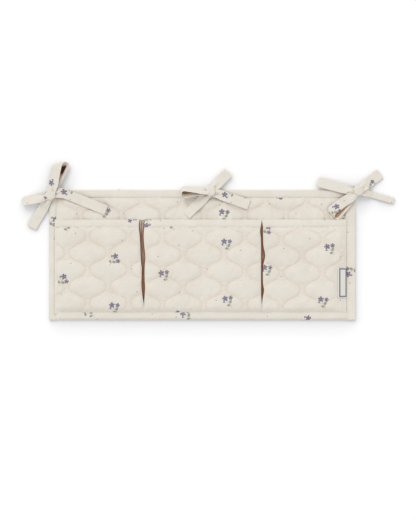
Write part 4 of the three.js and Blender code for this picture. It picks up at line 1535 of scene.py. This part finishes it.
class PocketRow:
    """The three pockets, the pleats between them and the label on the last."""

    label_half = (8.75 * MM, 30.4 * MM)
    label_lift = 2.35 * MM
    closed = 11.0 * MM

    def build(self) -> None:
        """Makes the pockets from left to right, then the pleats and the label."""
        label_low, label_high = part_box("side_label")
        label_middle = (label_low + label_high) / 2.0 - Vector((0.7 * MM, 0.0, 0.0))
        half_x, half_y = self.label_half
        strip_low, strip_high = PLAN.seam_y + 3.0 * MM, label_middle.y + half_y
        spot = (label_middle.x, (strip_low + strip_high) / 2.0, half_x, (strip_high - strip_low) / 2.0)
        edges = {place: PLAN.edge(*place, **shape) for place, shape in self.edge_shapes().items()}
        cells = {
            Side.LEFT: OgeeQuilting(-183.5 * MM, 36.2 * MM),
            Side.CENTRE: OgeeQuilting(-37.3 * MM, 32.6 * MM),
            Side.RIGHT: OgeeQuilting(194.8 * MM, 29.2 * MM),
        }
        outer_left = (Drape(edges[Side.LEFT, "left"], 1.0),)
        outer_right = (Drape(edges[Side.RIGHT, "right"], -1.0),)
        drapes = {Side.LEFT: outer_left, Side.CENTRE: (), Side.RIGHT: outer_right}
        cuts = {Side.LEFT: (0.005, 0.022), Side.CENTRE: (0.116, 0.057), Side.RIGHT: (0.037, 0.108)}
        for number, side in enumerate(Side):
            pocket = Pocket(
                side,
                edges[side, "left"],
                edges[side, "right"],
                cells[side],
                cuts[side],
                drapes[side],
                flat_spot=spot if side is Side.RIGHT else None,
                seed=10 + 7 * number,
            )
            pad = pocket.build()
        self.build_pleats(edges, drapes)
        self.build_label(label_middle, pad)

    def edge_shapes(self) -> dict[tuple[Side, str], dict]:
        """How each pocket's two sides depart from straight lines, as Edge takes it."""
        sag, closed = self.sag, {"foot_closed": self.closed}
        left = (sag(54, -1.4, 12), sag(-27, 1.1, 10), sag(-60, -0.9, 12))
        centre = (sag(36, -1.8, 18), sag(-5, 1.5, 14), sag(-64, 1.1, 13))
        far = (sag(46, -1.9, 10),)
        right = (sag(-1, 4.3, 15), sag(-69, 2.4, 11))
        return {
            (Side.LEFT, "left"): {"foot_shift": -3.0 * MM, "foot_reach": 1.0},
            (Side.LEFT, "right"): {"sags": left, "foot_shift": 2.3 * MM, **closed},
            (Side.CENTRE, "left"): {"sags": centre, "foot_shift": -1.0 * MM, **closed},
            (Side.CENTRE, "right"): {
                "sags": far, "foot_shift": 1.6 * MM, "mouth_shift": 1.2 * MM, **closed
            },
            (Side.RIGHT, "left"): {
                "sags": right, "foot_shift": -1.2 * MM, "mouth_shift": -2.2 * MM, **closed
            },
            (Side.RIGHT, "right"): {"foot_shift": -5.0 * MM, "foot_reach": 1.0},
        }

    @staticmethod
    def sag(height: float, aside: float, spread: float) -> Triple:
        """Turns a sag's millimetres into metres."""
        return height * MM, aside * MM, spread * MM

    @staticmethod
    def build_pleats(
        edges: dict[tuple[Side, str], Edge], drapes: dict[Side, tuple[Drape, ...]]
    ) -> None:
        """Makes the half pleats: one at each side of each pocket, facing the next pocket's half."""
        outer_left, left_a = (Side.LEFT, "left"), (Side.LEFT, "right")
        left_b, right_a = (Side.CENTRE, "left"), (Side.CENTRE, "right")
        right_b, outer_right = (Side.RIGHT, "left"), (Side.RIGHT, "right")
        halves = [
            ("left_outer_pleat", outer_left, outer_left, 1.0, "left_side_pleat"),
            ("left_slit_pleat_a", left_a, left_b, -1.0, "left_divider_pleat"),
            ("left_slit_pleat_b", left_b, left_a, 1.0, "left_divider_pleat"),
            ("right_slit_pleat_a", right_a, right_b, -1.0, "right_divider_pleat"),
            ("right_slit_pleat_b", right_b, right_a, 1.0, "right_divider_pleat"),
            ("right_outer_pleat", outer_right, outer_right, -1.0, "right_side_pleat"),
        ]
        for number, (name, own, facing, inward, replaced) in enumerate(halves):
            body = f"{own[0].value}_pocket"
            hanging = drapes[own[0]] if own == facing else ()
            Pleat(name, body, edges[own], edges[facing], inward, replaced, hanging, seed=30 + number).build()

    def build_label(self, middle: Vector, pad: QuiltedPad) -> None:
        """Makes the woven label on the right pocket's pad, and the stitches at its ends."""
        half_x, half_y = self.label_half
        columns = np.linspace(-half_x, half_x, 15)[None, :]
        rows = np.linspace(-half_y, half_y, 49)[:, None]
        x = middle.x + columns + 0.0 * rows
        y = middle.y + rows + 0.0 * columns
        sag = LABEL_WAVES.at(columns, rows)
        z = PLAN.pocket_underside(y) + self.label_lift + sag + pad.hang(x, y)
        skin = (joined(x, y, z), joined(columns, rows))
        label = Workbench.cloth("woven_label", skin, (0.5 * MM, 0.0), LabelFinish(), Slot.LABEL)
        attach(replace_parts(label, "side_label"), "right_pocket")
        inset = 0.8 * MM
        runs = []
        for end in (-1.0, 1.0):
            across = np.linspace(middle.x - half_x + inset, middle.x + half_x - inset, 30)
            up = np.full_like(across, middle.y + end * (half_y - inset))
            height = float(z.max()) + 0.2 * MM + pad.hang(across, up)
            runs.append(joined(across, up, height))
        # The dark stitches at the label's ends paint its shadow line there.
        thread = STITCH.sew("woven_label_thread", runs)
        Workbench.dress(thread, LABEL_SHADOW_THREAD, Slot.LABEL)
        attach(thread, "right_pocket")


class RibbonKind(Enum):
    """A ribbon leaves its knot as a loop or as a loose tail."""

    LOOP = "loop"
    TAIL = "tail"


@dataclass(frozen=True)
class Ribbon:
    """One loop or tail of a bow.

    lean tips the ribbon on its edge at the knot, and twist adds to that on the way to its end. swing turns
    it in plan where it leaves the knot, and bend where it has settled. rest is the height of its lowest edge
    there. level and aside are how far above and to the left of the knot's middle it comes out, and folded
    says that it is folded in two lengthwise. slip tips a loop's one leg off the other, flare is how much
    flatter its lower leg lies at the turn, and skew is how much the turn slants.
    Three fields set the painted shade inside a loop: how strong it is by the knot and in its turn, the share
    of its width that stays light there (rim), and the share of its length where it ends. Angles are in
    degrees.
    """

    name: str
    kind: RibbonKind
    length: float
    rest: float
    opening: float = 0.0
    lean: float = 0.0
    swing: float = 0.0
    bend: float = 0.0
    twist: float = 0.0
    level: float = 0.0
    aside: float = 0.0
    slip: float = 0.0
    flare: float = 0.0
    skew: float = 0.0
    # How strong the painted shade inside a loop is, by the knot and in its turn.
    loop_shade: Pair = (0.17, 0.55)
    rim: float = 0.2
    shade_until: float = 1.2
    folded: bool = False
    seed: int = 1


@dataclass(frozen=True)
class RibbonCloth:
    """Sizes that all the ribbons share."""

    width: float = 19.5 * MM
    thickness: float = 0.75 * MM
    gather_length: float = 18.0 * MM
    settle_length: float = 24.0 * MM
    bend_length: float = 28.0 * MM
    leg_spacing: float = 1.6 * MM
    gather_fold: float = 0.8
    gather_waves: float = 1.5
    fold_line: float = 0.1
    fold_turn: float = 0.16
    hidden: float = 6.0 * MM
    columns: int = 21
    step: float = 1.4 * MM


class Bed:
    """What the ribbons come to lie on: the panel's puffs and tapes, the ties' patches and the table."""

    tape = 5.6 * MM
    filling = 0.4 * MM
    fall = 4.0 * MM

    def __init__(self) -> None:
        """Takes the panel's pad and the ties' patches."""
        self.pad = BackPanel.pad()
        self.patches = [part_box(f"{side.value}_tie_base") for side in Side]

    def height(self, x: Array, y: Array) -> Array:
        """Height of the uppermost cloth at places x and y."""
        within = np.minimum(PLAN.right - np.abs(x), PLAN.top - np.abs(y))
        beside_tape = PLAN.inside_tapes(x, y)
        filled = self.filling * self.pad.slack(x, y) * self.pad.quilting.puff(x, y)
        puffs = self.pad.cloth_level(y) + self.pad.rise(x, y) + filled
        level = np.where(beside_tape < 0.0, self.tape, puffs) * smooth(within / self.fall + 1.0)
        for low, high in self.patches:
            beside = np.maximum.reduce([low.x - x, x - high.x, low.y - y, y - high.y])
            level = np.maximum(level, high.z * smooth(1.0 - beside / self.fall))
        return level

    def lift(self, points: Array, clearance: float, mirrored: bool) -> Array:
        """How far each step of a strip is lifted so that it lies on what is below it.

        Args:
            points: The strip, as steps x columns x 3.
            clearance: Least height of the strip's middle above the cloth.
            mirrored: Whether the strip goes out and comes back the same way.

        Returns:
            One height per step, without sudden changes.
        """
        missing = self.height(points[..., 0], points[..., 1]) + clearance - points[..., 2]
        lift = np.maximum(missing.max(axis=1), 0.0)
        if mirrored:
            lift = np.maximum(lift, lift[::-1])
        spread = 4
        padded = np.pad(lift, 2 * spread, mode="edge")
        window = np.lib.stride_tricks.sliding_window_view
        most = window(padded, 2 * spread + 1).max(axis=1)
        return window(most, 2 * spread + 1).mean(axis=1)


RIBBON_CLOTH = RibbonCloth()
BED = Bed()
ON_PANEL = 4.7 * MM
OFF_PANEL = 2.5 * MM
GROUND_CLEARANCE = 0.7 * MM


class Bow:
    """One tie: its sewn patch, its knot, and the loops and tails that leave the knot."""

    knot_half = (10.6 * MM, 10.2 * MM, 4.5 * MM)
    knot_creases = (-0.3, 0.12, 0.46)
    bend_from = 1.5 * MM
    bend_to = 7.0 * MM

    def __init__(self, side: Side, ribbons: Sequence[Ribbon], turn: float) -> None:
        """Takes the ribbons of one bow and the angle of its knot."""
        self.side = side
        self.ribbons = ribbons
        self.turn = math.radians(turn)
        low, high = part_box(f"{side.value}_tie_knot")
        self.knot = (low + high) / 2.0

    def build(self) -> None:
        """Makes the patch, the knot and the ribbons."""
        self.build_patch()
        self.build_knot()
        for number, ribbon in enumerate(self.ribbons):
            self.build_ribbon(ribbon, number)

    def build_patch(self) -> None:
        """Makes the end of ribbon that is sewn to the top tape."""
        node = f"{self.side.value}_tie_base"
        low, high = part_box(node)
        columns = np.linspace(low.x, high.x, 21)[None, :]
        rows = np.linspace(low.y, high.y, 15)[:, None]
        x, y = np.broadcast_arrays(columns, rows)
        z = (low.z + high.z) / 2.0 + PATCH_WAVES.at(x, y)
        cut = joined(x, y + 0.04)
        name = f"{self.side.value}_bow_patch"
        patch = Workbench.cloth(name, (joined(x, y, z), cut), (1.1 * MM, 0.0), PRINTED, Slot.RIBBON)
        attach(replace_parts(patch, node), "panel")

    def build_knot(self) -> None:
        """Makes the knot: a lump wrapped by a creased band."""
        node = f"{self.side.value}_tie_knot"
        bpy.ops.object.select_all(action="DESELECT")
        bpy.ops.mesh.primitive_uv_sphere_add(segments=96, ring_count=64, radius=1.0)
        knot = Workbench.name(bpy.context.object, f"{self.side.value}_bow_knot")
        along, across, up = Workbench.points(knot)[:, [2, 0, 1]].T
        squareness, flatness = 2.5, 3.2
        plan = (np.abs(along) ** squareness + np.abs(across) ** squareness) ** (1.0 / squareness)
        swell = (plan**flatness + np.abs(up) ** flatness) ** (-1.0 / flatness)
        slanted = along + 0.42 * across
        band = smooth((0.74 - np.abs(slanted)) / 0.12)
        around = np.arctan2(up, across)
        creases = -0.11 * sum(np.exp(-(((slanted - place) / 0.07) ** 2)) for place in self.knot_creases)
        bunched = 0.08 * np.cos(7.0 * around + 2.0 * along)
        drawn_in = np.where(slanted > 0.0, 0.11, 0.15)
        depth = 1.0 + drawn_in * (band - 1.0) + creases * band + bunched * (1.0 - band)
        body = joined(along, across, up) * (swell * depth)[:, None] * np.array(self.knot_half)
        cosine, sine = math.cos(self.turn), math.sin(self.turn)
        turn = np.array([[cosine, sine, 0.0], [-sine, cosine, 0.0], [0.0, 0.0, 1.0]])
        Workbench.place(knot, body @ turn + np.array(self.knot))
        bpy.ops.object.shade_smooth()
        Workbench.dress(knot, LINING, Slot.RIBBON)
        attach(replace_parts(knot, node), "panel")

    def build_ribbon(self, ribbon: Ribbon, number: int) -> None:
        """Makes one loop or tail, which bends up at the knot."""
        node = f"{self.side.value}_tie_{ribbon.name}"
        joint = JOINTS[f"{node}_lifts"]
        heading = math.atan2(joint["axis"][0], -joint["axis"][1])
        root = np.array(joint["pos_m"][:2])
        reach, offset = self.route(ribbon)
        points, along = self.strip(ribbon, reach, offset, heading, root)
        shares = np.linspace(-0.5, 0.5, RIBBON_CLOTH.columns)[None, :]
        flat = joined(shares * RIBBON_CLOTH.width, along[:, None])
        cut = flat + np.array([0.031 + 0.017 * number, 0.019 * ribbon.seed])
        piece = Workbench.sheet(f"{self.side.value}_bow_{ribbon.name}", points, cut)
        Workbench.thicken(piece, RIBBON_CLOTH.thickness)
        # Loops keep a number for the painted shade on their inner face.
        if ribbon.kind is RibbonKind.LOOP:
            Workbench.note(piece, INSIDE_SHADE, self.inside(ribbon, piece, points, reach / ribbon.length))
        Workbench.soften(piece, 0.25 * MM)
        Workbench.dress(piece, PRINTED, Slot.RIBBON)
        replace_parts(piece, node)
        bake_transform(piece)

    @staticmethod
    def inside(ribbon: Ribbon, piece: Piece, points: Array, share: Array) -> Array:
        """How much painted shade darkens each point of a thickened loop, for being inside the loop.

        Args:
            ribbon: The loop.
            piece: The thickened loop.
            points: The loop before, as steps x columns x 3.
            share: Share of the loop's reach at each step.

        Returns:
            0 on the outer face and along the edge that faces up, and the loop's painted shade away from it.
        """
        outward = np.cross(np.gradient(points, axis=1), np.gradient(points, axis=0))
        offsets = Workbench.points(piece).reshape(2, *points.shape) - points
        inner = (offsets * outward).sum(axis=-1) < 0.0
        from_edge = np.linspace(0.0, 1.0, points.shape[1])
        if ribbon.lean > 0.0:
            from_edge = from_edge[::-1]
        by_knot, in_turn = ribbon.loop_shade
        loop_shade = by_knot + (in_turn - by_knot) * smooth((share - 0.5) / 0.2)
        loop_shade = loop_shade * smooth((ribbon.shade_until - share) / 0.08)
        return inner * smooth((from_edge - ribbon.rim) / 0.15) * loop_shade[:, None]

    @staticmethod
    def route(ribbon: Ribbon) -> tuple[Array, Array]:
        """The ribbon's way in its own upright plane.

        Args:
            ribbon: The loop or tail.

        Returns:
            Reach from the knot and offset from the ribbon's middle plane, at each step of its length.
        """
        start = -RIBBON_CLOTH.hidden
        if ribbon.kind is RibbonKind.TAIL:
            reach = np.linspace(start, ribbon.length, int((ribbon.length - start) / RIBBON_CLOTH.step))
            return reach, np.zeros_like(reach)
        radius = ribbon.opening / 2.0
        straight = ribbon.length - radius
        leg = np.linspace(start, straight, int((straight - start) / RIBBON_CLOTH.step))
        share = np.clip(leg / straight, 0.0, 1.0)
        parting = 0.6 * share + 0.4 * smooth(share)
        spread = (RIBBON_CLOTH.leg_spacing + (ribbon.opening - RIBBON_CLOTH.leg_spacing) * parting) / 2.0
        turn = half_turn(15)
        reach = np.concatenate([leg, straight + radius * np.cos(turn), leg[::-1]])
        offset = np.concatenate([-spread, radius * np.sin(turn), spread[::-1]])
        return reach, offset

    def strip(
        self, ribbon: Ribbon, reach: Array, offset: Array, heading: float, root: Array
    ) -> tuple[Array, Array]:
        """Lays a strip of ribbon along its way.

        Args:
            ribbon: The loop or tail.
            reach: Reach from the knot at each step.
            offset: Offset from the ribbon's middle plane at each step.
            heading: Angle at which the ribbon leaves the knot.
            root: Where it leaves the knot, in plan.

        Returns:
            The strip's points, as steps x columns x 3, and the length along the strip at each step.
        """
        cloth = RIBBON_CLOTH
        share = reach / ribbon.length
        swing, bend = math.radians(ribbon.swing), math.radians(ribbon.bend)
        fine = np.linspace(0.0, 1.2 * ribbon.length, 400)
        turned, fine_turn = (
            heading + swing + (bend - swing) * smooth(way / cloth.bend_length) for way in (reach, fine)
        )
        fine_x = running_sum(np.cos(fine_turn)) * (fine[1] - fine[0])
        fine_y = running_sum(np.sin(fine_turn)) * (fine[1] - fine[0])
        before = np.minimum(reach, 0.0)
        ahead = math.cos(heading + swing), math.sin(heading + swing)
        x = root[0] + np.interp(reach, fine, fine_x) + before * ahead[0] - ribbon.aside * ahead[1]
        y = root[1] + np.interp(reach, fine, fine_y) + before * ahead[1] + ribbon.aside * ahead[0]

        gathered = 1.0 - smooth(reach / min(cloth.gather_length, ribbon.length / 2.0))
        tipped = np.radians(ribbon.lean + ribbon.twist * np.clip(share, 0.0, 1.0))
        lower = (1.0 - offset / max(float(np.abs(offset).max()), MM)) / 2.0
        lean = tipped - math.radians(ribbon.flare) * np.clip(share, 0.0, 1.0) * lower
        section_across, section_out = self.section(ribbon, gathered)
        half_width = np.ptp(section_across, axis=1) / 2.0
        slip = tipped + math.radians(ribbon.slip) * smooth(2.0 * share)
        tipped_half = np.abs(half_width * np.sin(lean))
        half_height = np.abs(offset) * np.cos(slip) + tipped_half + cloth.thickness / 2.0
        end_slip = float(slip[np.argmax(reach)])
        end_half = (ribbon.opening / 2.0) * math.cos(end_slip) + float(np.max(tipped_half))
        settled = ribbon.rest + end_half + cloth.thickness / 2.0
        leaving = self.knot.z + ribbon.level
        height = leaving + (settled - leaving) * smooth(reach / cloth.settle_length)
        floor = ribbon.rest + half_height
        height = np.maximum(height, np.minimum(floor, settled))

        sideways = joined(-np.sin(turned), np.cos(turned), np.zeros_like(turned))
        across = sideways * np.cos(lean)[:, None] + UP * np.sin(lean)[:, None]
        out = UP * np.cos(lean)[:, None] - sideways * np.sin(lean)[:, None]
        away = UP * np.cos(slip)[:, None] - sideways * np.sin(slip)[:, None]
        middle = joined(x, y, height) + away * offset[:, None]
        ripple = RIBBON_WAVES.at(reach[:, None], section_across * 0.4, ribbon.seed)
        ripple = ripple * (1.0 - gathered)[:, None]
        points = middle[:, None, :] + across[:, None, :] * section_across[..., None]
        points = points + out[:, None, :] * (section_out + ripple)[..., None]
        forward = joined(np.cos(turned), np.sin(turned), np.zeros_like(turned))
        slant = ribbon.skew * smooth((share - 0.4) / 0.6)
        curved = section_across * (1.0 + 0.4 * section_across / half_width[:, None])
        points = points + forward[:, None, :] * (slant[:, None] * curved)[..., None]
        lift = BED.lift(points, cloth.thickness / 2.0 + 0.1 * MM, ribbon.kind is RibbonKind.LOOP)
        points[..., 2] += lift[:, None]
        points[..., 2] = np.maximum(points[..., 2], GROUND_CLEARANCE)
        return points, reached(middle)

    @staticmethod
    def section(ribbon: Ribbon, gathered: Array) -> tuple[Array, Array]:
        """Folds the ribbon's section without stretching it.

        Args:
            ribbon: The loop or tail.
            gathered: How far the ribbon is drawn together at each step, from 0 to 1.

        Returns:
            Across and out coordinates of the section's points at each step.
        """
        cloth = RIBBON_CLOTH
        shares = np.linspace(-0.5, 0.5, cloth.columns)[None, :]
        folds = cloth.gather_fold * gathered[:, None] * np.cos(2.0 * np.pi * cloth.gather_waves * shares)
        angle = folds
        if ribbon.folded:
            fold_line = cloth.fold_line + 0.22 * gathered[:, None]
            doubled = smooth((shares - fold_line) / cloth.fold_turn + 0.5)
            angle = 0.6 * folds * (1.0 - doubled) - math.pi * doubled
        step = cloth.width / (cloth.columns - 1)
        across = running_sum(np.cos(angle)) * step
        out = running_sum(np.sin(angle)) * step
        across = across - (across.min(axis=1, keepdims=True) + across.max(axis=1, keepdims=True)) / 2.0
        return across, out - out.mean(axis=1, keepdims=True)


def make_bows() -> list[Bow]:
    """Lists the three bows with their loops and tails."""
    loop, tail = RibbonKind.LOOP, RibbonKind.TAIL
    wide, narrow = 13.0 * MM, 1.6 * MM
    low = -4.2 * MM
    left = [
        Ribbon(
            "upper_loop", loop, 58 * MM, OFF_PANEL, opening=16 * MM, lean=-6, twist=-10, slip=-38, skew=-0.6,
            loop_shade=(0.3, 1.0), shade_until=0.97, seed=1
        ),
        Ribbon(
            "side_loop", loop, 107 * MM, ON_PANEL, opening=narrow, swing=20, bend=-14.5, twist=6,
            aside=5.5 * MM, level=low, seed=2
        ),
        Ribbon("outer_tail", tail, 46 * MM, OFF_PANEL, twist=34, level=1.2 * MM, seed=3),
        Ribbon("lower_tail", tail, 63 * MM, OFF_PANEL, twist=-5, level=-2.0 * MM, seed=4),
    ]
    centre = [
        Ribbon(
            "left_loop", loop, 46 * MM, ON_PANEL, opening=12 * MM, lean=46, twist=16, flare=30,
            loop_shade=(0.3, 0.6), rim=0.4, seed=15
        ),
        Ribbon("right_loop", loop, 69 * MM, ON_PANEL, opening=narrow, level=low, seed=6),
        Ribbon("upper_tail", tail, 41.5 * MM, ON_PANEL, twist=-4, level=low, seed=7),
        Ribbon(
            "lower_tail", tail, 57 * MM, ON_PANEL, lean=4, swing=-4, bend=-4.5, twist=6, level=low, seed=8
        ),
    ]
    right = [
        Ribbon(
            "inner_loop", loop, 69 * MM, ON_PANEL, opening=narrow, swing=8, bend=-2, twist=6, level=low,
            seed=9
        ),
        Ribbon(
            "lower_loop", loop, 59 * MM, ON_PANEL, opening=wide, lean=4, twist=4, slip=62, level=low,
            loop_shade=(0.45, 0.5), rim=0.14, seed=14
        ),
        Ribbon("upper_tail", tail, 45 * MM, OFF_PANEL, twist=4, level=1.2 * MM, seed=11),
        Ribbon("outer_tail", tail, 63.5 * MM, OFF_PANEL, folded=True, level=-1.0 * MM, seed=12),
    ]
    return [Bow(Side.LEFT, left, 30), Bow(Side.CENTRE, centre, -9), Bow(Side.RIGHT, right, 12)]


@dataclass
class Studio:
    """A pale floor, soft light from the top edge, and the photograph's straight-down camera."""

    camera_height: float = 2.2
    frame_height: float = 1.0197
    middle: Pair = (0.0108, -0.0098)
    sensor: float = 36.0
    floor_size: float = 14.0
    floor_drop: float = 0.3 * MM
    # Painted shadow on the floor: the direction it looks towards the light, how far it reaches, and its
    # colour.
    shade_from: Triple = (-0.25, 0.85, 0.46)
    shade_reach: float = 40.0 * MM
    painted_shadow: Colour = (0.75, 0.754, 0.764)
    bare: Colour = (0.92, 0.92, 0.92)
    glow: float = 0.1
    sun: float = 0.85
    sun_spread: float = 30.0
    sun_from: Triple = (-1.0, 2.2, 2.5)
    surround: float = 0.81

    @staticmethod
    def shown(tree: Tree) -> Field:
        """1 for rays that show a surface to the camera, straight, mirrored or through glass, else 0."""
        path = tree.nodes.new("ShaderNodeLightPath")
        kinds = ("Camera", "Glossy", "Transmission")
        return Field.most_of(Field(tree, path.outputs[f"Is {kind} Ray"]) for kind in kinds)

    def build(self) -> None:
        """Makes the floor, the lights, the world and the camera."""
        self.build_floor()
        self.build_lights()
        self.build_camera()
        bpy.context.scene.view_settings.view_transform = "Standard"

    def build_floor(self) -> None:
        """Makes a pale floor, shown white where nothing shades it, with a painted shadow darkening it beside
        the object on the side away from the light.
        """
        bpy.ops.object.select_all(action="DESELECT")
        bpy.ops.mesh.primitive_plane_add(size=self.floor_size, location=(0.0, 0.0, -self.floor_drop))
        floor = Workbench.name(bpy.context.object, "studio_floor")
        shading = Shading("studio_floor")
        lit_from = shading.add("ShaderNodeCombineXYZ")
        for entry, part in zip(lit_from.inputs, self.shade_from):
            entry.default_value = part
        openness = shading.openness(self.shade_reach, samples=16, facing=lit_from.outputs[0])
        # Painted shadow: darker where the object closes the floor off towards the light.
        pale = shading.mix(openness.ramp(0.72, 1.02), self.painted_shadow, self.bare)
        shading.link(pale, shading.surface.inputs["Base Color"])
        shading.surface.inputs["Roughness"].default_value = 1.0
        shading.surface.inputs["Specular IOR Level"].default_value = 0.0
        glow = shading.add("ShaderNodeEmission")
        glow.inputs["Strength"].default_value = self.glow
        lift = shading.add("ShaderNodeMixShader")
        shading.link(self.shown(shading.tree).socket, lift.inputs[0])
        both = shading.add("ShaderNodeAddShader")
        shading.link(shading.surface.outputs[0], both.inputs[0])
        shading.link(glow.outputs[0], both.inputs[1])
        shading.link(shading.surface.outputs[0], lift.inputs[1])
        shading.link(both.outputs[0], lift.inputs[2])
        shading.link(lift.outputs[0], shading.tree.nodes["Material Output"].inputs["Surface"])
        floor.data.materials.append(shading.material)

    def build_lights(self) -> None:
        """Makes a soft light beyond the ties and an even white surround."""
        light = bpy.data.lights.new("key", "SUN")
        light.energy = self.sun
        light.angle = math.radians(self.sun_spread)
        lamp = bpy.data.objects.new("key", light)
        lamp.location = self.sun_from
        lamp.rotation_euler = (-lamp.location).to_track_quat("-Z", "Y").to_euler()
        bpy.context.scene.collection.objects.link(lamp)
        world = bpy.data.worlds.new("surround")
        world.use_nodes = True
        bpy.context.scene.world = world
        tree = world.node_tree
        surround = tree.nodes["Background"]
        surround.inputs["Strength"].default_value = self.surround
        white = tree.nodes.new("ShaderNodeBackground")
        for background in (white, surround):
            background.inputs["Color"].default_value = (1.0, 1.0, 1.0, 1.0)
        choice = tree.nodes.new("ShaderNodeMixShader")
        tree.links.new(self.shown(tree).socket, choice.inputs[0])
        tree.links.new(surround.outputs[0], choice.inputs[1])
        tree.links.new(white.outputs[0], choice.inputs[2])
        tree.links.new(choice.outputs[0], tree.nodes["World Output"].inputs["Surface"])

    def build_camera(self) -> None:
        """Makes the camera, straight above, with the ties towards the top of the picture."""
        lens = bpy.data.cameras.new("camera")
        lens.sensor_width = self.sensor
        lens.lens = self.sensor * self.camera_height / self.frame_height
        camera = bpy.data.objects.new("camera", lens)
        camera.location = (*self.middle, self.camera_height)
        bpy.context.scene.collection.objects.link(camera)
        bpy.context.scene.camera = camera


def main() -> None:
    """Builds the studio and every piece of the caddy."""
    logging.basicConfig(level=logging.INFO, format="%(message)s")
    Studio().build()
    BackPanel().build()
    Bindings().build()
    PocketRow().build()
    for bow in make_bows():
        bow.build()


if __name__ == "__main__":
    main()
